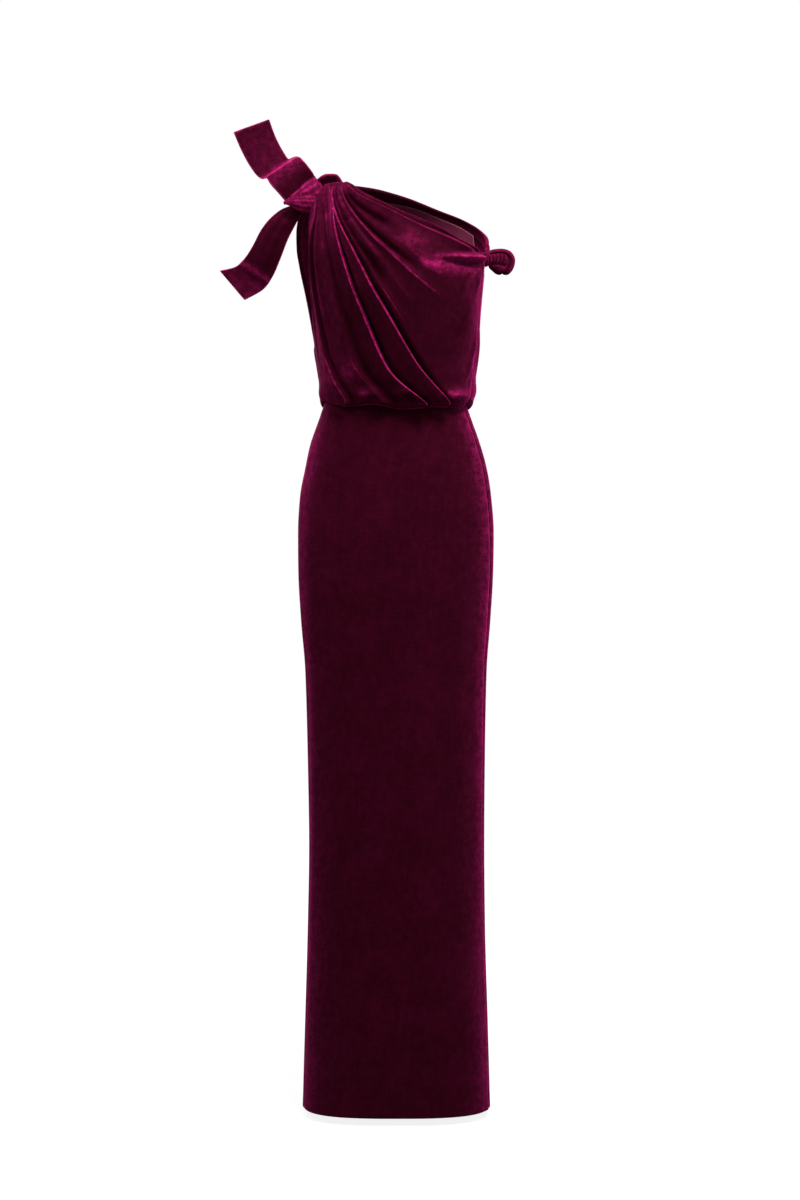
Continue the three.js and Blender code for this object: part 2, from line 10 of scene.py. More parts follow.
import bpy
import numpy as np
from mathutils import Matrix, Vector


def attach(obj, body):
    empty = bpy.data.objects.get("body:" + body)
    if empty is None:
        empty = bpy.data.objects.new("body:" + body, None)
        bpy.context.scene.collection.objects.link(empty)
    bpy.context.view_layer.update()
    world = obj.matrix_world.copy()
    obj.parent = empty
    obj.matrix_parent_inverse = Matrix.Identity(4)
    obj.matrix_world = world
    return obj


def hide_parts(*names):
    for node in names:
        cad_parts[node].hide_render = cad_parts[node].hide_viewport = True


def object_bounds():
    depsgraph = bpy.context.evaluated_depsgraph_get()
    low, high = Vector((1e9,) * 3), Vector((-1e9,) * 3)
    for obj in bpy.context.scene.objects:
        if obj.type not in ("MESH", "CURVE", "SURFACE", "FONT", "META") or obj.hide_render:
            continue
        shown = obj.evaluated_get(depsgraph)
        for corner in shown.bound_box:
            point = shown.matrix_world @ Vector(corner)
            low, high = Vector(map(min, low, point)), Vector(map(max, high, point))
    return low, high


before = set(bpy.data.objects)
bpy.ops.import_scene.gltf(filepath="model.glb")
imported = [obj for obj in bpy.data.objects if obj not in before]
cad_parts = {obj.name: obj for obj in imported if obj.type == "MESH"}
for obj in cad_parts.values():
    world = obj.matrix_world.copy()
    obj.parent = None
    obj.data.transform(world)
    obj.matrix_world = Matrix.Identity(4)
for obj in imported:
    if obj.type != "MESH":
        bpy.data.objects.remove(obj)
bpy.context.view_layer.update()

# %% [markdown]
# The camera stands straight in front of the gown, level with the middle of the picture, as far away
# as a studio photographer would stand. Its height and distance were worked out from the ellipse
# of the hem, so the hem curves here as much as it does in the photograph.

# %% Camera
MM = 0.001
SHOULDER = np.array([-101.0, 3.0, 1518.0])  # the frame's origin, in mm from the hem's centre
CAMERA_MM = np.array([5.8, -4200.0, 832.0])
MM_PER_PIXEL = 1.65
PICTURE_HEIGHT = 1200
SENSOR_MM = 36.0

camera_data = bpy.data.cameras.new("camera")
camera_data.sensor_width = SENSOR_MM
camera_data.lens = SENSOR_MM * -CAMERA_MM[1] / (MM_PER_PIXEL * PICTURE_HEIGHT)
camera = bpy.data.objects.new("camera", camera_data)
camera.location = (CAMERA_MM - SHOULDER) * MM
camera.rotation_euler = (math.pi / 2, 0, 0)
bpy.context.scene.collection.objects.link(camera)
bpy.context.scene.camera = camera
print("lens, millimetres:", round(camera_data.lens, 2))

# %% [markdown]
# Every curve in the gown runs through a short table of sizes. A smooth curve that never swings past
# its neighbours keeps a table honest: a dart or a seam lands where the table puts it. The slope at
# each row is the harmonic mean of the slopes on both sides, or zero at a peak.

# %% Curves through tables
def smooth(places, values, at):
    """Monotone cubic through rows of values: Hermite pieces with harmonic-mean slopes."""
    places = np.asarray(places, float)
    values = np.asarray(values, float)
    at = np.clip(np.asarray(at, float), places[0], places[-1])
    gaps = np.diff(places)
    rises = np.diff(values, axis=0) / gaps.reshape(-1, *[1] * (values.ndim - 1))
    slopes = np.empty_like(values)
    slopes[0], slopes[-1] = rises[0], rises[-1]
    product = rises[:-1] * rises[1:]
    total = rises[:-1] + rises[1:]
    inner = 2 * product / np.where(product > 0, total, 1)
    slopes[1:-1] = np.where(product > 0, inner, 0)
    i = np.clip(np.searchsorted(places, at, side="left") - 1, 0, len(gaps) - 1)
    shape = at.shape + (1,) * (values.ndim - 1)
    s = ((at - places[i]) / gaps[i]).reshape(shape)
    h = gaps[i].reshape(shape)
    return (
        (2 * s**3 - 3 * s**2 + 1) * values[i]
        + (s**3 - 2 * s**2 + s) * h * slopes[i]
        + (3 * s**2 - 2 * s**3) * values[i + 1]
        + (s**3 - s**2) * h * slopes[i + 1]
    )


def ramp(low, high, x):
    """Smooth step: 0 below low, 1 above high, three s squared less two s cubed between."""
    s = np.clip((np.asarray(x, float) - low) / (high - low), 0, 1)
    return s * s * (3 - 2 * s)


def window(rises, risen, falls, fallen, x):
    """Soft window: up from 0 to 1 between two places, and down again between two others."""
    return ramp(rises, risen, x) * (1 - ramp(falls, fallen, x))


def bell(*away):
    """A soft hump: e to the power of minus the sum of the squared distances."""
    return np.exp(-sum(part**2 for part in away))


print("a curve through 0, 2 and 3:", smooth([0, 1, 2], [0, 2, 3], np.linspace(0, 2, 5)).round(2))


# %% [markdown]
# A filled-out gown is a stack of level sections. Each section is a superellipse: an ellipse whose
# power can rise above 2 to square its corners, which is what hips and a straight skirt do. The left
# and right half widths and the front and back depths differ, because a body's do.

# %% Level sections of the form, in millimetres above the hem
# height, left, right, front, back, roundness
SKIRT = np.array([
    [0, 153, 153, 121, 121, 2.8],
    [139, 149, 149, 118, 119, 2.8],
    [304, 144.5, 144.5, 112, 115, 2.75],
    [428, 142.5, 143.5, 108, 113, 2.7],
    [552, 144.5, 144.5, 106, 113, 2.6],
    [716, 149, 148, 103, 115, 2.5],
    [799, 156, 154.5, 103, 118, 2.45],
    [881, 160.5, 159.5, 103, 122, 2.4],
    [943, 161, 160.5, 101, 123, 2.35],
    [1005, 157.5, 156, 98, 119, 2.3],
    [1047, 149.5, 149.5, 95, 113, 2.25],
    [1088, 141, 138, 91, 103, 2.2],
    [1129, 126.5, 123, 87, 94, 2.2],
    [1160, 116.5, 112, 84, 89, 2.2],
])
BODICE = np.array([
    [1140, 122, 124, 100, 100, 2.2],
    [1170, 126, 127, 104, 104, 2.2],
    [1200, 129, 129.5, 108, 106, 2.2],
    [1250, 135, 135.5, 115, 109, 2.2],
    [1300, 143, 139, 123, 112, 2.2],
    [1340, 151, 142.5, 127, 114, 2.2],
    [1380, 160, 146.5, 124, 115, 2.2],
    [1410, 165, 151, 116, 113, 2.2],
    [1440, 166, 157, 102, 107, 2.2],
    [1470, 163, 160, 80, 95, 2.2],
    [1495, 155, 160, 55, 76, 2.2],
    [1515, 142, 155, 32, 50, 2.2],
    [1530, 125, 140, 16, 24, 2.2],
])


def reach(sections, angle, height):
    """Distance from the axis: (|sin/a|^n + |cos/b|^n)^(-1/n), angle from the front towards +X."""
    sizes = smooth(sections[:, 0], sections[:, 1:], height)
    left, right, front, back, power = np.moveaxis(sizes, -1, 0)
    across, away = np.sin(np.radians(angle)), np.cos(np.radians(angle))
    a = np.where(across > 0, right, left)
    b = np.where(away > 0, front, back)
    return ((np.abs(across) / a) ** power + (np.abs(away) / b) ** power) ** (-1 / power)


def around(radius, angle, height):
    """The point at a distance from the axis, an angle from the front and a height."""
    turn = np.radians(angle)
    return np.stack([radius * np.sin(turn), -radius * np.cos(turn), height + 0 * radius], axis=-1)


def unit(vectors):
    """Vectors divided by their lengths."""
    return vectors / np.maximum(np.linalg.norm(vectors, axis=-1, keepdims=True), 1e-9)


def on_form(sections, angle, height):
    """A point on the form, and its outward direction from the cross of two small steps."""
    def point(a, h):
        return around(reach(sections, a, h), a, h)

    turned = point(angle + 0.5, height) - point(angle - 0.5, height)
    raised = point(angle, height + 1) - point(angle, height - 1)
    return point(angle, height), unit(np.cross(turned, raised))


WAIST_HEIGHT = 1159.0
waist = on_form(SKIRT, np.arange(361.0), np.full(361, WAIST_HEIGHT))[0]
print("waist girth, mm:", round(np.linalg.norm(np.diff(waist, axis=0), axis=1).sum()))

# %% [markdown]
# Cloth has two faces and an edge, and a dressmaker never leaves the edge raw: it is turned under
# in a small roll. So a sheet here is a grid of points with the direction each one faces, its edges
# can be turned, and a wall is that grid twice, a thickness apart, joined by a rim. A subdivision
# level then rounds what is left.

# %% A wall of cloth from a grid
VELVET_WALL = 2.0  # millimetres, as all sizes here that name no unit
EDGE_ROLL = 2.3  # radius of a turned edge, a little more than the wall
ARC_ROWS, FLAT_ROWS = 5, 1  # rows of points in a turned edge


def turned_edge(points, normals, axis, at_end, radius=EDGE_ROLL, sweep=90, back=4.0,
                arc_rows=ARC_ROWS, flat_rows=FLAT_ROWS):
    """The rows beyond one edge: an arc of the given sweep, edge + out r sin - normal r (1 - cos),
    then a straight return. out is the direction in which the cloth ends."""
    pick = (lambda grid, k: np.take(grid, -1 - k if at_end else k, axis=axis))
    edge, normal = pick(points, 0), pick(normals, 0)
    out = edge - pick(points, 1)
    out = unit(out - normal * np.sum(out * normal, axis=-1, keepdims=True))
    swept = np.radians(np.linspace(0, sweep, arc_rows + 1)[1:])
    rows = [(edge + radius * (out * np.sin(a) - normal * (1 - np.cos(a))),
             normal * np.cos(a) + out * np.sin(a)) for a in swept]
    last, facing = rows[-1]
    onward = out * np.cos(swept[-1]) - normal * np.sin(swept[-1])
    rows += [(last + onward * back * (k + 1) / flat_rows, facing) for k in range(flat_rows)]
    more, more_normals = (np.stack(part, axis=axis) for part in zip(*rows))
    return more, more_normals


def with_turned_edge(grid, axis, at_end, **sizes):
    """A grid of points, normals and marks of painted light, made longer by a turned edge."""
    points, normals, painted_light_mark = grid
    more, more_normals = turned_edge(points, normals, axis, at_end, **sizes)
    glow = np.zeros(more.shape[:2])
    if not at_end:
        more, more_normals = np.flip(more, axis), np.flip(more_normals, axis)
    order = (lambda old, new: [old, new] if at_end else [new, old])
    return (np.concatenate(order(points, more), axis),
            np.concatenate(order(normals, more_normals), axis),
            np.concatenate(order(painted_light_mark, glow), axis))


def along_grid(points, axis):
    """Length run along a grid in one direction, in metres."""
    steps = np.linalg.norm(np.diff(points, axis=axis), axis=-1)
    pad = [(1, 0), (0, 0)] if axis == 0 else [(0, 0), (1, 0)]
    return np.pad(np.cumsum(steps, axis=axis), pad) * MM


def grid_area(points):
    """Area of a grid in square metres: the cross of its two steps, summed over its cells."""
    cells = np.cross(np.diff(points, axis=0)[:, :-1], np.diff(points, axis=1)[:-1])
    return float(np.linalg.norm(cells, axis=-1).sum()) * MM * MM


def measured(points, column=None):
    """A grid's greatest width, the length of one column, the middle one unless another is named,
    and its area, in metres."""
    column = len(points) // 2 if column is None else column
    width, length = along_grid(points, 0)[-1].max(), along_grid(points, 1)[column, -1]
    return float(width), float(length), grid_area(points)


def print_flat(name, *metres):
    """Prints a flat width and length, and the area where it is given."""
    print(name, "flat, metres:", *(round(size, 3) for size in metres))


def wall(points, normals, thickness, painted_light_mark, lining=None):
    """A closed wall as arrays: vertices, quads, metres along the cloth at each vertex, marks of
    painted light, and which quads show the lining. The back is the grid moved against its normals."""
    across, along = points.shape[:2]
    number = np.arange(across * along).reshape(across, along)
    corners = [number[:-1, :-1], number[1:, :-1], number[1:, 1:], number[:-1, 1:]]
    quads = np.stack([corner.ravel() for corner in corners], axis=-1)
    flat, facing = points.reshape(-1, 3), normals.reshape(-1, 3)
    first = flat[quads[:, 0]]
    turned = np.cross(flat[quads[:, 1]] - first, flat[quads[:, 3]] - first)
    loop = np.concatenate([number[:-1, 0], number[-1, :-1], number[:0:-1, -1], number[0, :0:-1]])
    after = np.roll(loop, -1)
    if np.sum(turned * facing[quads[:, 0]]) < 0:
        quads = quads[:, ::-1]
        loop, after = after, loop
    count = len(flat)
    rim = np.stack([after, loop, loop + count, after + count], axis=-1)
    vertices = np.concatenate([flat, flat - facing * thickness])
    faces = np.concatenate([quads, quads[:, ::-1] + count, rim])
    cloth_uv = np.stack([along_grid(points, 0), along_grid(points, 1)], axis=-1).reshape(-1, 2)
    shown = np.zeros(len(faces), np.int32)
    if lining is not None:
        shown[len(quads):2 * len(quads)] = lining.ravel()[quads[:, 0]]
    return vertices, faces, np.tile(cloth_uv, (2, 1)), np.tile(painted_light_mark.ravel(), 2), shown


def piece_of(name, parts, rounds=1):
    """One object from one or more sets of arrays, rounded by a number of subdivisions."""
    vertices, faces, uv, painted_light_mark, shown = zip(*parts)
    starts = np.cumsum([0] + [len(part) for part in vertices[:-1]])
    faces = np.concatenate([part + start for part, start in zip(faces, starts)])
    mesh = bpy.data.meshes.new(name)
    mesh.from_pydata((np.concatenate(vertices) - SHOULDER) * MM, [], faces.tolist())
    mesh.uv_layers.new(name="cloth").data.foreach_set(
        "uv", np.concatenate(uv)[faces.ravel()].ravel().astype(np.float32))
    # the mark of painted highlight and painted shade, which the velvet shader reads
    mesh.attributes.new("painted_light_mark", "FLOAT", "POINT").data.foreach_set(
        "value", np.concatenate(painted_light_mark).astype(np.float32))
    mesh.polygons.foreach_set("material_index", np.concatenate(shown))
    mesh.polygons.foreach_set("use_smooth", np.ones(len(faces), bool))
    piece = bpy.data.objects.new(name.replace("_", "-"), mesh)
    bpy.context.scene.collection.objects.link(piece)
    rounding = piece.modifiers.new("rounding", "SUBSURF")
    rounding.levels = rounding.render_levels = rounds
    print(name, "faces:", len(faces))
    return piece


def grid_normals(points):
    """The directions in which a grid faces, from the cross of its two steps."""
    return unit(np.cross(np.gradient(points, axis=0), np.gradient(points, axis=1)))


def surface_normals(points, like):
    """The same directions, on the side of the given ones."""
    normal = grid_normals(points)
    return normal * np.sign(np.sum(normal * like, axis=-1, keepdims=True))


# %% [markdown]
# Velvet is dark when you look straight down its pile and bright where you look across it. The base
# colour here is nearly black red. The shader's sheen, and a painted sheen mixed into the base colour
# by how far the surface turns from the eye, add the magenta glow at the turn of each fold.
# Expressions on a socket read like arithmetic and each adds a Math node, so a formula for the
# nap stays one line long.

# %% Shader arithmetic
def arithmetic(operation, swapped=False):
    """A method of a wire that adds one Math node. Swapped, the wire comes second."""
    def method(self, other):
        first, second = (other, self) if swapped else (self, other)
        return self.material.node("ShaderNodeMath", {"operation": operation}, {0: first, 1: second})
    return method


class Wire:
    """A socket in a material that can be added, multiplied and so on."""

    def __init__(self, material, socket):
        self.material, self.socket = material, socket

    __add__, __radd__ = arithmetic("ADD"), arithmetic("ADD", swapped=True)
    __mul__, __rmul__ = arithmetic("MULTIPLY"), arithmetic("MULTIPLY", swapped=True)
    __rsub__ = arithmetic("SUBTRACT", swapped=True)
    __pow__ = arithmetic("POWER")


class Finish:
    """A material made of wires, around one Principled shader, with a plain dark one mixed in as
    painted shade where asked.
    """

    def __init__(self, name, **constants):
        self.data = bpy.data.materials.new(name)
        self.data.use_nodes = True
        self.tree = self.data.node_tree
        self.shader = self.tree.nodes["Principled BSDF"]
        for socket, value in constants.items():
            self.shader.inputs[socket.replace("_", " ")].default_value = value

    def node(self, kind, settings, inputs, output=0):
        """Adds a node: its settings first, then the values or wires of its sockets."""
        made = self.tree.nodes.new(kind)
        for name, value in settings.items():
            setattr(made, name, value)
        for key, value in inputs.items():
            if isinstance(value, Wire):
                self.tree.links.new(value.socket, made.inputs[key])
            else:
                made.inputs[key].default_value = value
        return Wire(self, made.outputs[output])

    def mixed(self, factor, first, second):
        """The colour between two colours."""
        settings = {"data_type": "RGBA", "clamp_factor": True}
        return self.node("ShaderNodeMix", settings, {0: factor, 6: first, 7: second}, 2)

    def noise(self, vector, scale, detail, roughness=0.55):
        """Soft noise from 0 to 1 on a vector."""
        inputs = {"Vector": vector, "Scale": scale, "Detail": detail, "Roughness": roughness}
        return self.node("ShaderNodeTexNoise", {}, inputs)

    def stretched(self, vector, scale):
        """A vector scaled differently along each axis."""
        return self.node("ShaderNodeMapping", {}, {"Vector": vector, "Scale": scale})

    def spread(self, value, low, high):
        """Maps low to 0 and high to 1, with soft ends."""
        settings = {"interpolation_type": "SMOOTHSTEP"}
        return self.node("ShaderNodeMapRange", settings, {0: value, 1: low, 2: high})

    def patches(self, vector, scale, detail, roughness, low, high):
        """Soft noise whose middle is spread over the whole range from 0 to 1."""
        return self.spread(self.noise(vector, scale, detail, roughness), low, high)

    def set(self, socket, wire):
        """Leads a wire into a socket of the shader."""
        self.tree.links.new(wire.socket, self.shader.inputs[socket])

    def paint_shade(self, factor, colour):
        """Mixes in a plain dark shader with no sheen as painted shade, by a factor from 0 to 1."""
        dark = self.tree.nodes.new("ShaderNodeBsdfPrincipled")
        plain = {"Base Color": colour, "Roughness": 1.0, "Specular IOR Level": 0.0}
        for socket, value in plain.items():
            dark.inputs[socket].default_value = value
        mix = self.tree.nodes.new("ShaderNodeMixShader")
        self.tree.links.new(factor.socket, mix.inputs[0])
        self.tree.links.new(self.shader.outputs[0], mix.inputs[1])
        self.tree.links.new(dark.outputs[0], mix.inputs[2])
        self.tree.links.new(mix.outputs[0], self.tree.nodes["Material Output"].inputs[0])

    def bump(self, height, strength, distance):
        """Relief from a height that varies over the surface."""
        self.set("Normal", self.node(
            "ShaderNodeBump", {}, {"Strength": strength, "Distance": distance, "Height": height}))


# %% [markdown]
# The nap of velvet is brushed by hands and by hanging, so it has cloudy lighter and darker places
# a hand's width across, streaks along the grain, small flecks, combed lines across the grain, and
# rows of pile a millimetre apart. Each is noise or waves, most of them on the cloth's own measure,
# so they follow each piece round its folds. A painted sheen, mixed into the base colour at a grazing
# look, makes them brighter there. The tops of folds carry a mark from the modelling, a painted
# highlight. Where that mark is below nothing it is painted shade, deep in a fold.

# %% Velvet and lining
DEEP = (0.0180, 0.0006, 0.0036, 1)
BRUSHED = (0.038, 0.0013, 0.0090, 1)
# painted shade, for the deepest parts of folds
PAINTED_SHADE = (0.004, 0.0001, 0.0008, 1)
# the colour of the painted sheen and the painted highlights
PAINTED_SHEEN = (0.62, 0.018, 0.185, 1)
SHEEN_TINT = (1.0, 0.035, 0.34, 1)
LINING_DEEP = (0.120, 0.0090, 0.0360, 1)
LINING_PALE = (0.160, 0.015, 0.052, 1)
# scale, detail and roughness of the noise, then its values that become 0 and 1
CLOUDS = (16.0, 5.0, 0.68, 0.38, 0.70)
STREAKS = (1.0, 4.0, 0.70, 0.34, 0.74)
FLECKS = (85.0, 4.0, 0.72, 0.43, 0.61)
COMBED = (1.0, 3.0, 0.60, 0.42, 0.62)
SLUBS = (1.0, 2.0, 0.55, 0.35, 0.70)
# marks per metre across and along the cloth
ALONG_GRAIN = (210, 16, 1)
ACROSS_GRAIN = (45, 700, 1)
SLUB_GRAIN = (40, 700, 1)
PILE_GRAIN = (1400, 1100, 1)
PILE_ROWS = 900.0
WEAVE_ROWS = 2200.0


def velvet():
    """Dark cloth, mixed towards a painted sheen by the nap times a power of how far it turns from the
    eye, then towards a painted highlight by the mark of painted light, and mixed with a plain dark
    shader as painted shade where that mark is below nothing."""
    finish = Finish(
        "velvet", Sheen_Weight=0.34, Sheen_Roughness=0.36, Sheen_Tint=SHEEN_TINT,
        Specular_IOR_Level=0.08, Specular_Tint=(1.0, 0.05, 0.3, 1))
    uv = finish.node("ShaderNodeUVMap", {"uv_map": "cloth"}, {})
    place = finish.node("ShaderNodeTexCoord", {}, {}, 3)
    painted_light_mark = finish.node("ShaderNodeAttribute", {"attribute_name": "painted_light_mark"}, {}, 2)
    turning = finish.node("ShaderNodeLayerWeight", {}, {"Blend": 0.5}, 1)
    clouds = finish.patches(place, *CLOUDS)
    streaks = finish.patches(finish.stretched(uv, ALONG_GRAIN), *STREAKS)
    flecks = finish.patches(place, *FLECKS)
    combed = finish.patches(finish.stretched(uv, ACROSS_GRAIN), *COMBED)
    nap = clouds * 0.4 + streaks * 0.3 + flecks * 0.3
    base = finish.mixed(nap, DEEP, BRUSHED)
    # painted sheen: a grazing look mixes the base colour towards the sheen colour, more where the nap
    # is lighter
    turn = turning ** 2.4 * (0.07 + 0.26 * nap + 0.20 * flecks + 0.10 * combed)
    painted_light = finish.mixed(turn, base, PAINTED_SHEEN)
    # painted highlight along the mark of painted light, stronger where the nap is lighter
    raised = painted_light_mark * (0.14 + 0.46 * flecks + 0.34 * combed + 0.36 * nap)
    finish.set("Base Color", finish.mixed(raised, painted_light, PAINTED_SHEEN))
    # painted shade: a plain dark shader where the mark of painted light is below nothing
    finish.paint_shade(finish.spread(painted_light_mark * -1.0, 0.0, 1.0), PAINTED_SHADE)
    finish.set("Roughness", 0.85 - 0.1 * nap)
    rows = finish.node("ShaderNodeTexWave", {"bands_direction": "Y"}, {
        "Vector": uv, "Scale": PILE_ROWS / (2 * math.pi), "Distortion": 1.2, "Detail": 2.0})
    pile = finish.noise(finish.stretched(uv, PILE_GRAIN), 1.0, 2.0)
    finish.bump(rows * 0.5 + pile * 0.5 + clouds * 1.5, 0.35, 0.0006)
    return finish.data


def lining():
    """Smooth cloth between two colours by its slubs, with a fine weave as relief."""
    finish = Finish("lining", Sheen_Weight=0.15, Sheen_Roughness=0.4,
                    Sheen_Tint=(0.6, 0.2, 0.3, 1), Specular_IOR_Level=0.35)
    uv = finish.node("ShaderNodeUVMap", {"uv_map": "cloth"}, {})
    slubs = finish.patches(finish.stretched(uv, SLUB_GRAIN), *SLUBS)
    finish.set("Base Color", finish.mixed(slubs, LINING_DEEP, LINING_PALE))
    finish.set("Roughness", 0.42 + 0.12 * slubs)
    weave = finish.node("ShaderNodeTexWave", {"bands_direction": "X"}, {
        "Vector": uv, "Scale": WEAVE_ROWS / (2 * math.pi), "Distortion": 0.5})
    finish.bump(weave, 0.2, 0.0002)
    return finish.data


VELVET, LINING = velvet(), lining()
print("finishes:", VELVET.name, "and", LINING.name)


def sew(piece, node, material=VELVET, inside=LINING):
    """Gives a piece its finish, lets it ride on the gown and stand for its CAD node."""
    piece.data.materials.append(material)
    piece.data.materials.append(inside)
    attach(piece, "root")
    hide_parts(node)
    return piece


# %% [markdown]
# The skirt is cut in three: a front and two backs joined at the centre back. Each panel is the form
# between two seams. Real velvet never hangs perfectly smooth, so long shallow hollows run down
# from the hips, a faint cross crease lies on the thigh, and each seam sits in a shallow groove with
# the cloth rolling up on both sides of it, which is where the velvet glows along the side, partly
# from the light on that roll and partly from a painted highlight beside the seam.

# %% Skirt panels
SIDE_SEAM_RIGHT = 76.0  # degrees from the front, towards the picture's right
SIDE_SEAM_LEFT = -86.0
CENTRE_BACK = 180.0
SEAM_HALF_GAP = -0.3  # the rolled edges press lightly into each other
SEAM_CROWDING = 0.3  # how much closer the columns are beside the seams
SEAM_CALM = 40.0  # the hanging folds fade this near to a seam
SEAM_PUFF = 1.6  # the cloth swells beside a seam
SEAM_PUFF_AT = 9.0  # distance of that swelling from the seam
SEAM_GROOVE = 6.0  # half width of the groove at the seam
SEAM_GLOW = 0.20  # painted highlight beside a seam, brightest from the hip up
SEAM_GLOW_AT = 8.0
SEAM_GLOW_REACH = 15.0
HEM_DEPTH = 32.0  # velvet turned up inside the hem
HEM_DIMPLE = 0.7  # the line where the hem is caught from inside
HEM_DIMPLE_REACH = 3.0
HEM_ARC_ROWS, HEM_FLAT_ROWS = 8, 3
FOLD_DRIFT = 0.004  # degrees that a hanging fold moves sideways in each millimetre of height
FOLD_FADE = 160.0  # height over which a hanging fold fades in and out
FOLD_TOP = 120.0  # how far above its top height it has faded out
# angle, half width in degrees, depth in mm, top and bottom height
HANGING_FOLDS = np.array([
    [-70, 6, 1.6, 1100, 200],
    [-38, 9, 1.3, 700, 60],
    [-12, 8, 0.9, 420, 0],
    [22, 10, 1.2, 640, 30],
    [48, 7, 1.5, 1020, 260],
    [66, 5, 1.3, 860, 420],
    [100, 8, 1.5, 1000, 200],
    [136, 9, 1.8, 760, 40],
    [162, 8, 1.6, 620, 0],
    [204, 9, 1.7, 700, 60],
    [236, 8, 1.5, 900, 120],
    [262, 6, 1.4, 1040, 300],
])
# angle, height, slope in mm per degree, half length in degrees, depth in mm
CROSS_CREASES = np.array([
    [-27, 760, -0.72, 30, 1.0],
    [34, 1010, 0.55, 20, 0.7],
    [150, 905, 0.6, 26, 1.0],
    [212, 880, -0.5, 24, 0.9],
])


def skirt_lift(angle, height):
    """Hanging folds, each a hump across and faded at both ends, and cross creases, each a narrow
    hump above a wider hollow."""
    lift = np.zeros_like(angle)
    for centre, width, depth, top, bottom in HANGING_FOLDS:
        across = bell((angle - centre - FOLD_DRIFT * (height - bottom)) / width)
        lift += depth * across * window(
            bottom - FOLD_FADE, bottom + FOLD_FADE, top - FOLD_FADE, top + FOLD_TOP, height)
    for centre, level, slope, length, depth in CROSS_CREASES:
        away = height - level - slope * (angle - centre)
        near = bell((angle - centre) / length)
        lift += depth * near * (bell(away / 5) - bell((away + 9) / 7))
    return lift


def skirt_panel(name, start, end, columns, rows=90):
    """The form between two seams, with its folds, the sides rolled in and its hem turned up."""
    share = np.linspace(0, 1, columns)
    share = share - SEAM_CROWDING * np.sin(2 * np.pi * share) / np.pi
    levels = np.linspace(EDGE_ROLL, WAIST_HEIGHT, rows)
    inset = EDGE_ROLL + SEAM_HALF_GAP
    low, high = (edge + side * np.degrees(inset / reach(SKIRT, np.full(rows, edge), levels))
                 for edge, side in ((start, 1), (end, -1)))
    angle = low + (high - low) * share[:, None]
    height = np.broadcast_to(levels, angle.shape)
    base, normal = on_form(SKIRT, angle, height)
    radius = np.hypot(base[..., 0], base[..., 1])
    from_seam = np.radians(np.minimum(angle - low, high - angle)) * radius
    lift = skirt_lift(angle, height) * ramp(0, SEAM_CALM, from_seam)
    puff = bell((from_seam - SEAM_PUFF_AT) / SEAM_PUFF_AT) * ramp(0, SEAM_GROOVE, from_seam)
    lift += SEAM_PUFF * puff - HEM_DIMPLE * bell((height - HEM_DEPTH) / HEM_DIMPLE_REACH)
    points = base + normal * lift[..., None]
    # painted highlight beside each seam, brightest from the hip up
    beside = bell((from_seam - SEAM_GLOW_AT) / SEAM_GLOW_REACH)
    painted_light_mark = SEAM_GLOW * beside * (0.25 + 0.75 * ramp(250, 900, height))
    grid = points, surface_normals(points, normal), painted_light_mark
    grid = with_turned_edge(grid, 1, False, sweep=180, back=HEM_DEPTH,
                            arc_rows=HEM_ARC_ROWS, flat_rows=HEM_FLAT_ROWS)
    grid = with_turned_edge(grid, 0, False)
    points, normals, painted_light_mark = with_turned_edge(grid, 0, True)
    lined = np.ones(painted_light_mark.shape, bool)
    lined[:, :HEM_ARC_ROWS + HEM_FLAT_ROWS] = False
    piece = piece_of(name, [wall(points, normals, VELVET_WALL, painted_light_mark, lined)])
    sew(piece, name)
    width, length, area = measured(points, columns // 2)
    print_flat(name, width, length, area)


skirt_panel("skirt_front", SIDE_SEAM_LEFT, SIDE_SEAM_RIGHT, 66)
skirt_panel("skirt_back_right", SIDE_SEAM_RIGHT, CENTRE_BACK, 44)
skirt_panel("skirt_back_left", CENTRE_BACK, SIDE_SEAM_LEFT + 360, 42)

# %% [markdown]
# The bodice is drapery: one piece of velvet gathered into the shoulder knot, fanning out over the
# bust and bloused over the waist seam. The way to hold a fan is a grid whose columns all start at
# the knot and follow the folds. Each line below is one column, as an angle round the form and a
# height at six stations, and a smooth curve fills the columns between.

# %% The lines of the drapery
STATIONS = np.linspace(0, 1, 6)
FRONT_PLACES = np.array([0, 0.14, 0.3, 0.46, 0.57, 0.7, 0.8, 0.93, 1])
FRONT_CORNER = 0.7
FRONT_LINES = np.array([
    [[-79, 1503], [-71.5, 1462], [-66.8, 1400], [-71, 1330], [-83, 1250], [-86, 1166]],
    [[-79.5, 1507], [-66, 1445], [-65, 1392], [-66.5, 1320], [-64, 1240], [-46, 1156]],
    [[-80, 1511], [-60.4, 1445], [-52, 1379], [-46, 1300], [-37, 1215], [-14, 1152]],
    [[-79.5, 1514], [-58, 1470], [-42, 1400], [-28, 1305], [-9, 1203], [24, 1149]],
    [[-78.3, 1516], [-56.1, 1465], [-34, 1398], [-13.2, 1310], [15, 1210], [43, 1152]],
    [[-77, 1517], [-50, 1468], [-22, 1405], [8, 1325], [42, 1240], [76, 1169]],
    [[-76, 1517], [-44.5, 1464], [-10, 1398], [20, 1345], [48, 1315], [76, 1305]],
    [[-75, 1517], [-47, 1490], [-5, 1460], [29, 1425], [52, 1403], [76, 1385]],
    [[-74, 1518], [-52, 1500], [-10, 1473], [28, 1442], [52, 1412], [76, 1396]],
])
BACK_PLACES = np.array([0, 0.14, 0.28, 0.42, 0.56, 0.74, 0.86, 0.95, 1])
BACK_CORNER = 0.74
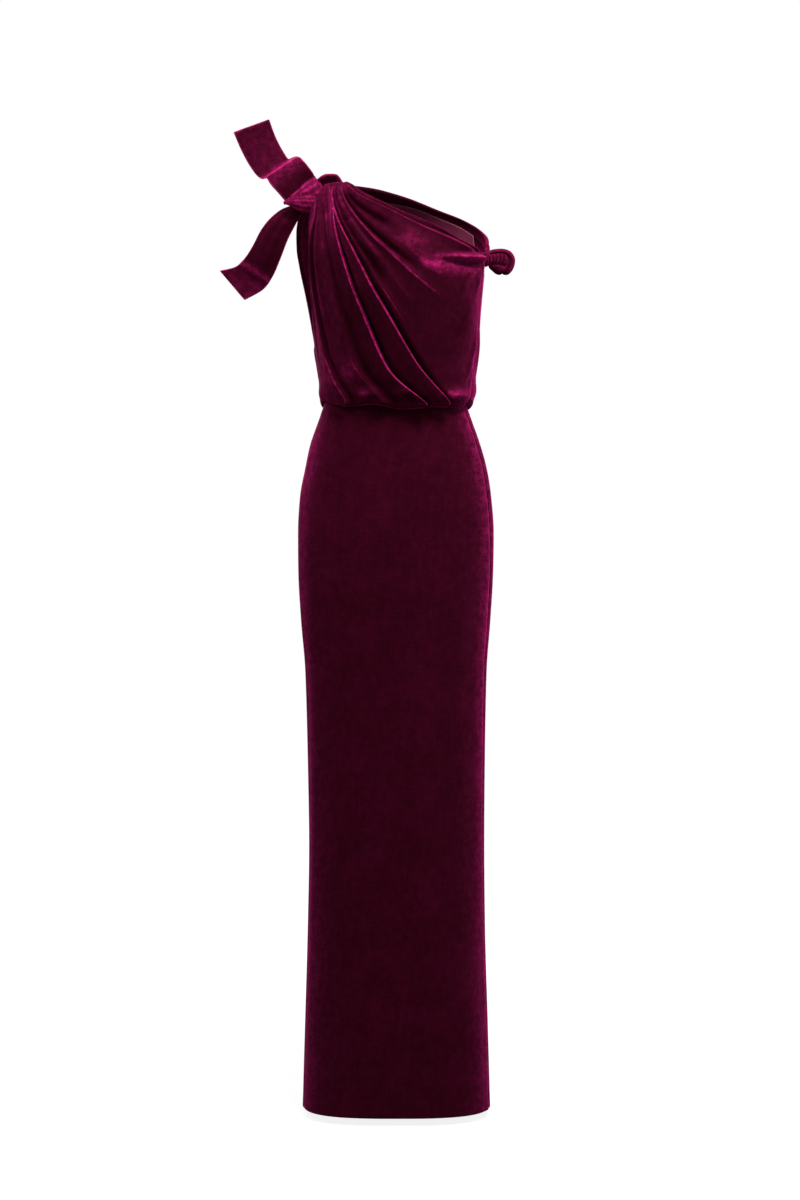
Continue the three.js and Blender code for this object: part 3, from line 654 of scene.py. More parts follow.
BACK_LINES = np.array([
    [[262, 1503], [266, 1462], [270, 1400], [270.5, 1330], [273, 1250], [274, 1166]],
    [[258, 1508], [250, 1450], [250, 1380], [250, 1300], [248, 1225], [246, 1157]],
    [[255, 1511], [236, 1455], [228, 1385], [222, 1300], [216, 1225], [212, 1154]],
    [[253, 1514], [222, 1460], [206, 1395], [196, 1310], [188, 1225], [180, 1153]],
    [[252, 1516], [208, 1468], [184, 1405], [168, 1320], [156, 1235], [140, 1155]],
    [[251, 1518], [200, 1478], [165, 1425], [138, 1350], [108, 1260], [76, 1164]],
    [[250, 1519], [196, 1488], [158, 1448], [126, 1398], [100, 1355], [76, 1320]],
    [[250, 1520.5], [206, 1504], [160, 1493], [131, 1467], [105, 1424], [76, 1382]],
    [[250, 1522], [205, 1515], [160, 1503.5], [130, 1478], [104, 1438], [76, 1397]],
])


def drape(places, lines, across, along):
    """Angle and height over a panel: each line through its stations, then across the lines."""
    columns = smooth(STATIONS, np.moveaxis(lines, 1, 0), along)
    return smooth(places, np.moveaxis(columns, 1, 0), across)


print("lines of the fan, front and back:", len(FRONT_LINES), len(BACK_LINES))


# %% [markdown]
# A pleat in velvet isn't a sine wave. Coming from the left the cloth climbs slowly, like the side
# of a roof, turns over a narrow crest, drops steeply and leaves a dark hollow to its right. So each
# fold below has a slow side, a steep side and a trough, in real millimetres across the cloth, and
# the crest leans over its own hollow. Folds rise out of the knot and die away where the table says.

# %% Folds that follow the fan
# place across, height, slow side, steep side, lean (all mm), share of the length where it has
# risen, where it starts to fade, glow of the painted highlight on its crest
FRONT_FOLDS = np.array([
    [0.035, 2.0, 8, 4, 0.5, 0.10, 0.60, 0.10],
    [0.140, 4.5, 26, 5, 1.5, 0.20, 1.30, 0.40],
    [0.220, 2.0, 14, 8, 0.5, 0.10, 0.45, 0.00],
    [0.300, 4.0, 30, 9, 1.0, 0.20, 0.95, 0.08],
    [0.375, 2.5, 14, 7, 0.8, 0.10, 0.50, 0.12],
    [0.460, 11.0, 46, 3.4, 4.5, 0.16, 1.40, 0.72],
    [0.515, 2.2, 12, 6, 0.6, 0.08, 0.30, 0.10],
    [0.570, 12.0, 50, 3.4, 5.0, 0.16, 1.40, 0.72],
    [0.618, 4.5, 18, 6, 1.2, 0.10, 0.38, 0.30],
    [0.690, 3.0, 20, 10, 0.8, 0.10, 0.34, 0.14],
    [0.785, 8.0, 34, 10, 2.5, 0.14, 0.40, 0.34],
    [0.930, 4.0, 16, 5, 1.4, 0.12, 0.85, 0.22],
])
BACK_FOLDS = np.array([
    [0.040, 2.2, 9, 5, 0.6, 0.12, 0.60, 0.10],
    [0.140, 4.5, 28, 8, 1.5, 0.20, 1.30, 0.15],
    [0.205, 2.2, 12, 7, 0.6, 0.12, 0.50, 0.05],
    [0.280, 6.5, 36, 6, 2.5, 0.20, 1.30, 0.35],
    [0.355, 2.4, 14, 8, 0.6, 0.12, 0.50, 0.05],
    [0.420, 8.5, 42, 5, 4.0, 0.18, 1.30, 0.55],
    [0.490, 2.4, 14, 8, 0.6, 0.12, 0.50, 0.05],
    [0.560, 8.0, 42, 5, 3.5, 0.18, 0.90, 0.50],
    [0.650, 3.5, 22, 9, 1.0, 0.14, 0.60, 0.10],
    [0.740, 4.0, 28, 9, 1.5, 0.16, 0.60, 0.15],
    [0.860, 4.5, 22, 7, 1.5, 0.16, 0.42, 0.20],
])
# place across, depth and half width in mm, where along it begins and ends, how dark its painted shade
# is
FRONT_VALLEYS = np.array([
    [0.888, 5.0, 22, 0.15, 0.34, 0.88],
    [0.648, 3.0, 16, 0.26, 0.48, 0.70],
])
BACK_VALLEYS = np.array([
    [0.800, 3.0, 22, 0.16, 0.45, 0.60],
    [0.350, 2.0, 16, 0.30, 0.75, 0.40],
])
FULL_WIDTH = 420.0  # across a panel at the waist
NARROWEST = 0.12  # of that width, where the folds bundle together at the knot
TROUGH = 0.42  # depth of the hollow beside a fold, as a share of its height
NARROWEST_DROP = 1.7  # so that the steep side is never sharper than the cloth can bend
DARKEST = 0.9  # how dark the painted shade in the hollow beside a tall fold is
BUNDLED = 0.16  # height of a fold where it leaves the knot, as a share of its full height
FADE_LENGTH = 0.35  # share of a panel's length over which a fold dies away


def fold_relief(folds, valleys, across, along, run):
    """Height, lean and painted light over a panel: a painted highlight along each crest and painted
    shade in each trough. run is the distance across it in millimetres, and the sides of a fold are
    measured from where it crosses each row. A fold is one plus the distance over the slow side, to
    the power 1.6, up to its crest, and half a bell after it. A valley is one wide bell that sinks the
    cloth and adds painted shade."""
    height, lean, painted_light_mark, hollow = (np.zeros_like(run) for _ in range(4))
    narrow = np.clip(run[-1] / FULL_WIDTH, NARROWEST, 1.0)

    def beside(place):
        return run - np.array([np.interp(place, across, row) for row in run.T])

    for start, tall, slow, steep, leaning, risen, fades, glow in folds:
        aside = beside(start)
        left, right = slow * narrow, np.maximum(steep * narrow, NARROWEST_DROP)
        strength = window(0, risen, fades, fades + FADE_LENGTH, along)
        climb = np.clip(1 + aside / left, 0, 1) ** 1.6
        drop = bell(aside / right)
        trough = bell((aside - 2.4 * right) / (1.5 * right))
        height += (tall * strength * (BUNDLED + (1 - BUNDLED) * narrow)
                   * (np.where(aside < 0, climb, drop) - TROUGH * trough))
        lean += leaning * narrow**1.5 * strength * bell(aside / (right + 1.0))
        line = bell((aside - 0.15 * right) / (0.12 * right + 0.6))
        painted_light_mark = np.maximum(painted_light_mark, glow * np.minimum(1, 3 * strength) * line)
        hollow = np.maximum(hollow, DARKEST * min(1, tall / 7) * strength * trough)
    for start, deep, wide, begins, ends, dark in valleys:
        stripe = bell(beside(start) / (wide * narrow)) * window(
            begins - 0.1, begins, ends, ends + 0.15, along)
        height -= deep * narrow * stripe
        hollow = np.maximum(hollow, dark * stripe)
    # painted highlight along the crests, less the painted shade in the hollows and valleys
    return height, lean, painted_light_mark - hollow * (1 - painted_light_mark)


print("folds, front and back:", len(FRONT_FOLDS), len(BACK_FOLDS))


# %% [markdown]
# Some folds don't run with the fan. The small knot under the arm pulls a sharp fold out of the neck
# corner, with a deep pocket below it, and the side seam and the waist gather a little. Each is
# drawn as a stroke over the form: a line of angles and heights, how high it stands, and how far it
# reaches above and below the line.

# %% Strokes and swellings
MM_PER_DEGREE = 2.36  # across the form at the bust
STROKE_LINE = 2.2  # half width of the painted highlight line on a stroke
# height, reach above, reach below, glow of its painted highlight line, then the line as angle and
# height pairs
FRONT_STROKES = [
    (9.0, 5, 3.5, 0.85, [[78, 1392], [71.8, 1391], [57, 1387], [44, 1385], [34, 1384], [22, 1384]]),
    (-9.0, 4, 5, 0.0, [[76, 1381], [66, 1379], [54, 1377], [45, 1378], [30, 1380]]),
    (-4.5, 5, 4, 0.0, [[76, 1398], [66, 1397], [54, 1396], [40, 1396]]),
    (4.5, 8, 6, 0.30, [[73, 1381], [62, 1366], [54, 1348], [49, 1330], [46, 1312]]),
    (3.5, 7, 6, 0.10, [[76, 1372], [68, 1350], [63, 1322]]),
    (3.5, 6, 5, 0.50, [[76, 1285], [73, 1262], [70, 1232], [67, 1201], [61, 1170]]),
    (3.0, 5, 5, 0.45, [[76, 1251], [75, 1220], [71, 1189], [67, 1164]]),
    (3.0, 8, 6, 0.10, [[-38.5, 1438], [-28.5, 1413], [-16.7, 1380], [-8, 1352]]),
    (2.2, 6, 5, 0.12, [[-28, 1408], [-18, 1392], [-10, 1372]]),
]
BACK_STROKES = [
    (5.0, 7, 6, 0.25, [[76, 1391], [90, 1392], [108, 1398], [126, 1408]]),
    (-3.0, 6, 6, 0.0, [[86, 1378], [96, 1379], [106, 1384]]),
    (3.0, 8, 7, 0.15, [[100, 1370], [106, 1366], [116, 1364], [130, 1368]]),
    (3.5, 5, 5, 0.20, [[78, 1396], [86, 1408], [92, 1422]]),
    (3.0, 5, 5, 0.15, [[79, 1398], [82, 1412]]),
    (3.0, 6, 5, 0.20, [[77, 1285], [82, 1250], [86, 1210], [90, 1172]]),
    (2.5, 5, 5, 0.15, [[266, 1245], [262, 1205], [258, 1168]]),
]
# angle, height, reach in degrees, reach in mm, how far it swells
FRONT_SWELLINGS = np.array([
    [52, 1166, 14, 9, 8.5],
    [6, 1164, 9, 8, 4.0],
    [-26, 1165, 9, 8, 4.5],
    [-56, 1178, 14, 20, 4.0],
    [-78, 1170, 8, 10, 3.0],
])
BACK_SWELLINGS = np.array([
    [96, 1178, 14, 16, 5.0],
    [136, 1172, 12, 12, 4.0],
    [164, 1174, 10, 12, 3.5],
    [200, 1173, 14, 13, 4.0],
    [232, 1176, 12, 14, 4.0],
    [262, 1172, 10, 12, 3.0],
])


def stroke_relief(strokes, swellings, angle, height):
    """Height and painted highlight of the strokes and swellings. The distance to a stroke is the
    smallest one to its segments, and a stroke fades over its second half."""
    lift, glow = np.zeros_like(angle), np.zeros_like(angle)
    place = np.stack([angle * MM_PER_DEGREE, height], axis=-1)
    for tall, above, below, shine, line in strokes:
        line = np.array(line, float) * [MM_PER_DEGREE, 1]
        ends = line[1:] - line[:-1]
        length = np.linalg.norm(ends, axis=1)
        offset = place[..., None, :] - line[:-1]
        share = np.clip(np.sum(offset * ends, axis=-1) / length**2, 0, 1)
        away = offset - share[..., None] * ends
        distance = np.linalg.norm(away, axis=-1)
        k = np.argmin(distance, axis=-1)[..., None]
        distance = np.take_along_axis(distance, k, -1)[..., 0]
        over = np.take_along_axis(away[..., 1], k, -1)[..., 0] > 0
        run = np.concatenate([[0], np.cumsum(length)])
        at = (run[k] + np.take_along_axis(share, k, -1) * length[k])[..., 0] / run[-1]
        strength = 1 - ramp(0.5, 1.0, at)
        lift += tall * bell(distance / np.where(over, above, below)) * strength
        glow = np.maximum(glow, shine * strength * bell(distance / STROKE_LINE))
    for centre, level, wide, high, out in swellings:
        lift += out * bell((angle - centre) / wide, (height - level) / high)
    return lift, glow


print("strokes, front and back:", len(FRONT_STROKES), len(BACK_STROKES))


# %% [markdown]
# Painted light with no height: soft ovals of painted highlight where the velvet should shine, and
# of painted shade where it should be dark. Each is a soft oval in the same mark of painted light
# that the folds use.

# %% Painted highlights and shade
# angle, height, reach in degrees, reach in mm, glow: ovals of painted highlight,
# or of painted shade where the glow is below nothing
FRONT_PAINTED_LIGHT = np.array([
    [9, 1411, 15, 12, 0.17],
    [6, 1388, 9, 8, 0.26],
    [23, 1370, 16, 13, 0.64],
    [-11, 1412, 8, 9, 0.14],
    [54, 1366, 14, 9, 0.20],
    [50, 1164, 9, 5.0, 1.0],
    [-27, 1164, 4.5, 3.5, 0.42],
    [-64, 1205, 9, 30, 0.16],
    [-72, 1320, 7, 55, 0.12],
    [-50, 1300, 5, 34, 0.10],
    [-38, 1203, 9, 15, 0.18],
    [-16, 1190, 7, 10, 0.10],
    [-58, 1455, 4, 22, 0.24],
    [-52, 1418, 3.5, 24, 0.20],
    [-63.5, 1395, 3.5, 48, -0.50],
    [54, 1285, 11, 50, -0.42],
    [30, 1240, 14, 40, -0.25],
])
BACK_PAINTED_LIGHT = np.array([
    [160, 1420, 30, 22, 0.12],
    [205, 1380, 24, 30, 0.06],
    [120, 1330, 16, 20, 0.08],
    [110, 1176, 12, 6, 0.18],
    [190, 1172, 16, 5, 0.14],
])


def add_painted_light(painted_light_mark, painted_light, angle, height):
    """The mark of painted light with soft ovals of painted highlight or shade added, each by its
    share of the way left to full glow.
    """
    for centre, level, wide, high, glow in painted_light:
        patch = bell((angle - centre) / wide, (height - level) / high)
        painted_light_mark = painted_light_mark + glow * patch * (1 - np.abs(painted_light_mark))
    return painted_light_mark


print("brushed places, front and back:", len(FRONT_PAINTED_LIGHT), len(BACK_PAINTED_LIGHT))

# %% [markdown]
# At the bottom each column goes on past its last station: it turns under in half an ellipse, then
# climbs inside against the skirt to the waist seam. That turned edge is what makes the soft roll
# of a bloused bodice. The columns beyond the lower corner end on the side seam, where the cloth
# simply turns in.

# %% A draped panel
TALL_FOLD = 3.9  # folds above this height get closer columns
NEAREST_COLUMNS = 0.0011  # share of the width
BLOUSE_TURN = 8.0  # how deep the roll hangs
BLOUSE_SAG = 0.3  # how unevenly, as a share of its depth
BLOUSE_WAVES = 7
WAIST_GAP = 0.4  # between the turned edge and the skirt
WAIST_ALLOWANCE = 8.0  # how far it climbs above the waist seam
SEAM_ALLOWANCE = 8.0
TURN_ROWS, LEG_ROWS = 10, 2
EDGE_CALM = 6.0  # the folds are flat this near to the first and the last column
SIDE_CALM = 0.86  # beyond this share of the length they fade towards the side seam
STROKE_CALM = (2, 14)  # the strokes grow between these distances from a side seam
ARMHOLE_FACING = 0.16  # share of a panel faced with velvet inside the armhole
NECK_FACING = 0.97
UNLINED_ROWS = 45  # beside the knot the folds are too tight to be lined
SIDE_SHARE = 0.72  # beyond this share of the columns the corner under the arm is faced with velvet
SIDE_ROWS = 85
SEAM_INSET = 0.85  # degrees from a side seam to where its turned edge begins


def fold_columns(folds, places, spacing):
    """Columns evenly spaced, closer round each tall crest and by the neckline, and one on each line
    of the fan."""
    offsets = np.array([-9, -5.5, -3, -1.5, 0, 1, 2, 3.2, 5, 7.5, 11]) / FULL_WIDTH
    tight = [fold[0] + offset for fold in folds[folds[:, 1] > TALL_FOLD] for offset in offsets]
    every = np.concatenate([np.linspace(0, 1, spacing), np.linspace(0.82, 1, spacing // 3), tight])
    every = np.sort(every[(every >= 0) & (every <= 1)])
    every = every[np.concatenate([[True], np.diff(every) > NEAREST_COLUMNS])]
    near = np.min(np.abs(every[:, None] - places[None]), axis=1) < NEAREST_COLUMNS
    return np.sort(np.concatenate([every[~near], places]))


def blouse_turn(angle, height, steps):
    """Half an ellipse from the bodice's form to the skirt's, then straight up beside the skirt."""
    outer = reach(BODICE, angle, height)
    level = unit(on_form(BODICE, angle, height)[1] * np.array([1, 1, 0]))
    depth = BLOUSE_TURN * (1 + BLOUSE_SAG * np.sin(np.radians(BLOUSE_WAVES * angle) + 1))
    points, normals = [], []
    for step in steps[steps <= 1]:
        sweep = np.pi * step
        at = height - depth * np.sin(sweep)
        inner = reach(SKIRT, angle, at) + WAIST_GAP
        points.append(around(inner + (outer - inner) * (1 + np.cos(sweep)) / 2, angle, at))
        down = np.zeros_like(level)
        down[..., 2] = -np.sin(sweep)
        normals.append(unit(level * np.cos(sweep) + down))
    for step in steps[steps > 1]:
        at = height + (WAIST_HEIGHT + WAIST_ALLOWANCE - height) * (step - 1)
        points.append(around(reach(SKIRT, angle, at) + WAIST_GAP, angle, at))
        normals.append(-level)
    return np.stack(points, axis=1), np.stack(normals, axis=1)


def inside_seams(angle, seams):
    """Angles squeezed a little towards the middle of the panel, to leave room for rolled edges."""
    low, high = min(seams), max(seams)
    middle = (low + high) / 2
    return middle + (angle - middle) * (1 - 2 * SEAM_INSET / (high - low))


def draped_panel(places, lines, folds, valleys, strokes, swellings, painted_light, corner, seams,
                 rows, spacing):
    """The grid of a fan of columns with its relief, its turned bottom and its rolled edges."""
    across = fold_columns(folds, places, spacing)
    along = np.linspace(0, 1, rows)
    path = drape(places, lines, across, along)
    angle, level = inside_seams(path[..., 0], seams), path[..., 1]
    base, normal = on_form(BODICE, angle, level)
    run = along_grid(base, 0) / MM
    height, lean, painted_light_mark = fold_relief(folds, valleys, across, along, run)
    edge = ramp(0, EDGE_CALM, run) * ramp(0, EDGE_CALM, run[-1] - run)
    beyond = (across > corner + 1e-9)[:, None]
    side = np.where(beyond, 1 - ramp(SIDE_CALM, 1, along)[None], 1)
    extra, shine = stroke_relief(strokes, swellings, angle, level)
    from_seam = MM_PER_DEGREE * np.minimum(angle - min(seams), max(seams) - angle)
    lift = height * edge * side + extra * ramp(*STROKE_CALM, from_seam)
    sideways = unit(np.gradient(base, axis=0))
    points = base + normal * lift[..., None] + sideways * (lean * edge * side)[..., None]
    # painted highlight along the strokes, then the ovals of painted highlight and painted shade
    painted_light_mark = add_painted_light(painted_light_mark * side + shine * (1 - painted_light_mark * side), painted_light, angle, level)
    turn, leg = np.linspace(0, 1, TURN_ROWS + 1), np.linspace(1, 2, LEG_ROWS + 1)
    steps = np.concatenate([turn[1:], leg[1:]])
    under, under_normal = blouse_turn(angle[:, -1], level[:, -1], steps)
    under += (points[:, -1] - base[:, -1])[:, None] * (1 - ramp(0.25, 1.0, steps))[None, :, None]
    shaded = surface_normals(points, normal)
    seam, seam_normal = turned_edge(points, shaded, 1, True, back=SEAM_ALLOWANCE,
                                    arc_rows=TURN_ROWS, flat_rows=LEG_ROWS)
    tail = np.where(beyond[..., None], seam, under)
    tail_normal = np.where(beyond[..., None], seam_normal, under_normal)
    faded = painted_light_mark[:, -1:] * (1 - ramp(0.0, 0.3, steps))[None]
    grid = (np.concatenate([points, tail], axis=1), np.concatenate([shaded, tail_normal], axis=1),
            np.concatenate([painted_light_mark, faded], axis=1))
    grid = with_turned_edge(grid, 1, False, radius=6.0, sweep=150, back=2.0, arc_rows=8)
    grid = with_turned_edge(grid, 0, False)
    grid = with_turned_edge(grid, 0, True)
    place = np.clip(np.arange(len(grid[0])) - ARC_ROWS - FLAT_ROWS, 0, len(across) - 1)
    lined = (across[place] > ARMHOLE_FACING) & (across[place] < NECK_FACING)
    return dict(across=across, points=points, normals=shaded, grid=grid, lined=lined)


def sew_panel(name, panel):
    """A draped panel as a wall, with velvet instead of lining where the inside can be seen."""
    points, normals, painted_light_mark = panel["grid"]
    lined = np.repeat(panel["lined"][:, None], painted_light_mark.shape[1], axis=1)
    lined[:, :UNLINED_ROWS] = False
    lined[int(SIDE_SHARE * len(lined)):, SIDE_ROWS:] = False
    piece = piece_of(name, [wall(points, normals, VELVET_WALL, painted_light_mark, lined)], rounds=0)
    sew(piece, name)
    width, length, area = measured(points)
    width = max(width, 1.02 * area / length)  # never less than the fan's area needs
    print_flat(name, width, length, area)


front = draped_panel(FRONT_PLACES, FRONT_LINES, FRONT_FOLDS, FRONT_VALLEYS, FRONT_STROKES,
                     FRONT_SWELLINGS, FRONT_PAINTED_LIGHT, FRONT_CORNER,
                     seams=(SIDE_SEAM_LEFT, SIDE_SEAM_RIGHT), rows=130, spacing=150)
back = draped_panel(BACK_PLACES, BACK_LINES, BACK_FOLDS, BACK_VALLEYS, BACK_STROKES,
                    BACK_SWELLINGS, BACK_PAINTED_LIGHT, BACK_CORNER,
                    seams=(SIDE_SEAM_LEFT + 360, SIDE_SEAM_RIGHT), rows=110, spacing=120)
sew_panel("bodice_front", front)
sew_panel("bodice_back", back)

# %% [markdown]
# Inside the back neckline lies a narrow velvet facing, and below it the lining. Both are stretches
# of the back panel's own grid moved inwards by the wall and a small gap, so they follow its folds.

# %% Facing and lining of the back
LINING_WALL = 1.2
GAP = 0.35  # between one layer and the next
FACING_PLACE = 0.95  # the line of the fan where the facing ends and the lining begins
LINING_PLACE = 0.2
FACING_ROWS, LINING_ROWS = slice(10, 100), slice(10, 80)


def inside_back(name, chosen, rows, depth, thickness, material):
    """A stretch of the back panel's grid, moved inwards by a depth."""
    normals = back["normals"][chosen][:, rows]
    points = back["points"][chosen][:, rows] - normals * depth
    painted_light_mark = np.zeros(points.shape[:2])
    piece = piece_of(name, [wall(points, normals, thickness, painted_light_mark)], rounds=0)
    sew(piece, name, material, inside=material)
    _, length, area = measured(points)
    width = 1.05 * area / length  # the mean width and a little ease
    print_flat(name, width, length, area)


layer = VELVET_WALL + GAP
across = back["across"]
inside_back("back_neck_facing", across >= FACING_PLACE - 1e-9, FACING_ROWS, layer,
            VELVET_WALL, VELVET)
inside_back("back_lining", (across >= LINING_PLACE) & (across <= FACING_PLACE + 1e-9), LINING_ROWS,
            2 * layer, LINING_WALL, LINING)

# %% [markdown]
# The tie ends are flat ribbons of double velvet, about 63 mm wide. A ribbon is a row of straight
# cross lines, so the table gives the two ends of each line, and a bow between them. Where the upper
# one doubles back on itself its crest carries a painted highlight, the brightest line of the whole
# gown.

# %% Ribbon ends of the shoulder tie
# x, y, z of one edge, then of the other, then how far the middle bows towards the viewer
UPPER_TAIL = np.array([
    [-270, 10, 1606, -211, 18, 1629, 0],
    [-257, 14, 1576, -201, 22, 1602, 3],
    [-243, 11, 1550, -189, 20, 1578, 5],
    [-229, 3, 1531, -177, 14, 1562, 4],
    [-221, -9, 1525, -168, 4, 1564, 2],
    [-214, -23, 1524, -160, -12, 1561, 0],
    [-207, -33, 1513, -152, -26, 1552, -2],
    [-195, -36, 1499, -144, -30, 1542, -3],
    [-180, -32, 1483, -136, -26, 1531, 0],
    [-166, -22, 1474, -132, -18, 1521, 3],
])
LOWER_TAIL = np.array([
    [-158, -8, 1496, -138, -12, 1484, 2],
    [-170, -14, 1482, -150, -18, 1470, 3],
    [-188, -18, 1474, -157, -24, 1462, 5],
    [-207, -20, 1459, -168, -28, 1442, 6],
    [-222, -18, 1441, -178, -28, 1422, 5],
    [-236, -12, 1416, -190, -24, 1392, 4],
    [-250, -4, 1396, -202, -16, 1366, 3],
    [-268, 6, 1382, -218, -4, 1345, 0],
    [-293, 12, 1377, -251, 6, 1327, -2],
])


BAND_GLOW = 0.16  # painted highlight over all of a pleated band
EDGE_LINE = 0.022  # half width of the painted highlight along a side, as a share of the width
END_LINE = 0.008  # and across an end, as a share of the length


def evenly(table, at):
    """A smooth curve through rows that are evenly spaced from 0 to 1."""
    return smooth(np.linspace(0, 1, len(table)), table, at)


def ribbon_grid(lines, columns=22, rows=90, pleats=0, pleat_depth=0.0, ripples=(), glow=()):
    """Straight lines between two edge curves, bowed by half a sine. Pleats run lengthwise as the
    absolute sine, ripples are bells across, and glow marks painted highlight lines from side to side."""
    across = np.linspace(0, 1, columns)
    along = np.linspace(0, 1, rows)
    row = evenly(lines, along)
    share = across[:, None, None]
    points = (1 - share) * row[None, :, 0:3] + share * row[None, :, 3:6]
    toward = row[None, :, 6] * np.sin(np.pi * across)[:, None]
    fold = np.abs(np.sin(np.pi * pleats * across + 0.4 * np.sin(5 * across)))[:, None]
    toward = toward + pleat_depth * (fold - 0.5) * np.ones(rows)
    for place, width, depth, start, end in ripples:
        hump = bell((across - place) / width)[:, None]
        toward = toward + depth * hump * window(start - 0.1, start, end, end + 0.2, along)
    points[..., 1] -= toward
    from_side = np.minimum(across, 1 - across)[:, None]
    from_end = np.minimum(along, 1 - along)[None]
    # painted highlight along the sides and ends, over a whole pleated band and its pleats, and along
    # the glow lines
    painted_light_mark = 0.6 * np.maximum(bell(from_side / EDGE_LINE), bell(from_end / END_LINE))
    painted_light_mark = np.maximum(painted_light_mark, (pleats > 0) * (BAND_GLOW + 0.30 * fold**4))
    for place, width, strength in glow:
        painted_light_mark = np.maximum(painted_light_mark, strength * bell((along - place) / width)[None])
    return points, painted_light_mark


def ribbon_wall(points, painted_light_mark):
    """A wall with the grid in its middle."""
    normals = grid_normals(points)
    return wall(points + normals * VELVET_WALL / 2, normals, VELVET_WALL, painted_light_mark)


def ribbon(name, lines, **shape):
    """A tie end, velvet on both faces, that hangs from the shoulder knot."""
    points, painted_light_mark = ribbon_grid(lines, **shape)
    piece = piece_of(name, [ribbon_wall(points, painted_light_mark)])
    sew(piece, name, inside=VELVET)
    width, length, _ = measured(points)
    print_flat(name, width, length)


# ripples: place across, width, depth in mm, where along they begin and end
# glow: painted highlight lines, as place along, width, strength
ribbon("tail_upper", UPPER_TAIL, ripples=[(0.3, 0.2, 1.2, 0.1, 0.3)],
       glow=[(0.505, 0.032, 1.0), (0.62, 0.10, 0.12), (0.18, 0.20, 0.05)])
ribbon("tail_lower", LOWER_TAIL, ripples=[(0.3, 0.12, 2.5, 0.0, 0.5), (0.62, 0.12, 2.2, 0.0, 0.6)],
       glow=[(0.80, 0.03, 0.3), (0.92, 0.10, 0.12)])

# %% [markdown]
# A knot is cloth rolled tight. Each roll here is a closed section carried along a path: an ellipse
# whose outline ripples with pleats that turn from one end to the other, rounded off at both ends.
# The shoulder knot also has two bands of pleated cloth laid over its roll. Both fan out from one
# point at the left, one up over the shoulder and one across the front.

# %% Rolls and wraps
# x, y, z, half width, half thickness
SHOULDER_WAD = np.array([
    [-158, -4, 1493, 14, 12],
    [-152, -4, 1495, 22, 20],
    [-145, -4, 1498, 26, 24],
    [-136, -3, 1501, 27, 24],
    [-128, -2, 1504, 24, 21],
    [-120, -1, 1506, 17, 16],
])
SHOULDER_ROLL = np.array([
    [-132, 6, 1514, 14, 5],
    [-126, 4, 1523, 19, 6],
    [-114, 3, 1529, 22, 6],
    [-103, 4, 1529, 22, 6],
    [-95, 8, 1522, 20, 6],
    [-91, 14, 1512, 15, 5],
])
UNDER_ROLL = np.array([
    [-128, 6, 1508, 12, 6],
    [-118, 7, 1514, 18, 9],
    [-107, 9, 1515, 20, 9],
    [-98, 13, 1511, 14, 6],
])
SIDE_WRAP = np.array([
    [134, -20, 1388, 8, 8],
    [143, -19, 1388, 9, 9],
    [152, -17, 1390, 9, 9],
    [163, -14, 1391, 10, 9],
    [174, -11, 1391, 11.5, 9],
    [183, -7, 1389, 10, 8],
])
SIDE_LOOP = np.array([
    [149, -8, 1398, 6, 4.5],
    [158, -8, 1404, 7, 5],
    [171, -8, 1405, 7.5, 5.5],
    [183, -8, 1402, 8, 6],
    [189, -7, 1392, 8, 6.5],
    [185, -8, 1381, 7.5, 8],
    [180, -9, 1373, 7, 7],
    [175, -9, 1368, 3, 3],
])
SIDE_END = np.array([
    [152, -15, 1384, 5, 5],
    [160, -14, 1381, 6, 8],
    [169, -12, 1377, 7, 10],
    [177, -10, 1375, 6, 7],
])
# edge x, y, z, other edge x, y, z, bow
BAND_DOWN = np.array([
    [-134, -24, 1528, -120, -22, 1502, 1],
    [-145, -33, 1519, -132, -34, 1494, 3],
    [-156, -38, 1508, -145, -40, 1488, 4],
    [-168, -40, 1496, -159, -42, 1484, 4],
    [-178, -39, 1487, -173, -41, 1481, 2],
    [-185, -37, 1482, -184, -37, 1479, 0],
])
BAND_ACROSS = np.array([
    [-184, -38, 1484, -182, -38, 1480, 0],
    [-172, -43, 1488, -170, -42, 1474, 3],
    [-160, -45, 1491, -159, -43, 1468, 5],
    [-150, -44, 1492, -149, -41, 1465, 6],
    [-139, -39, 1493, -139, -36, 1465, 6],
    [-127, -27, 1494, -128, -26, 1468, 4],
])


KNOT_GLOW = 0.22  # painted highlight on the pleats of a roll
UPRIGHT, AWAY = (0, 0, 1), (0, 1, 0)


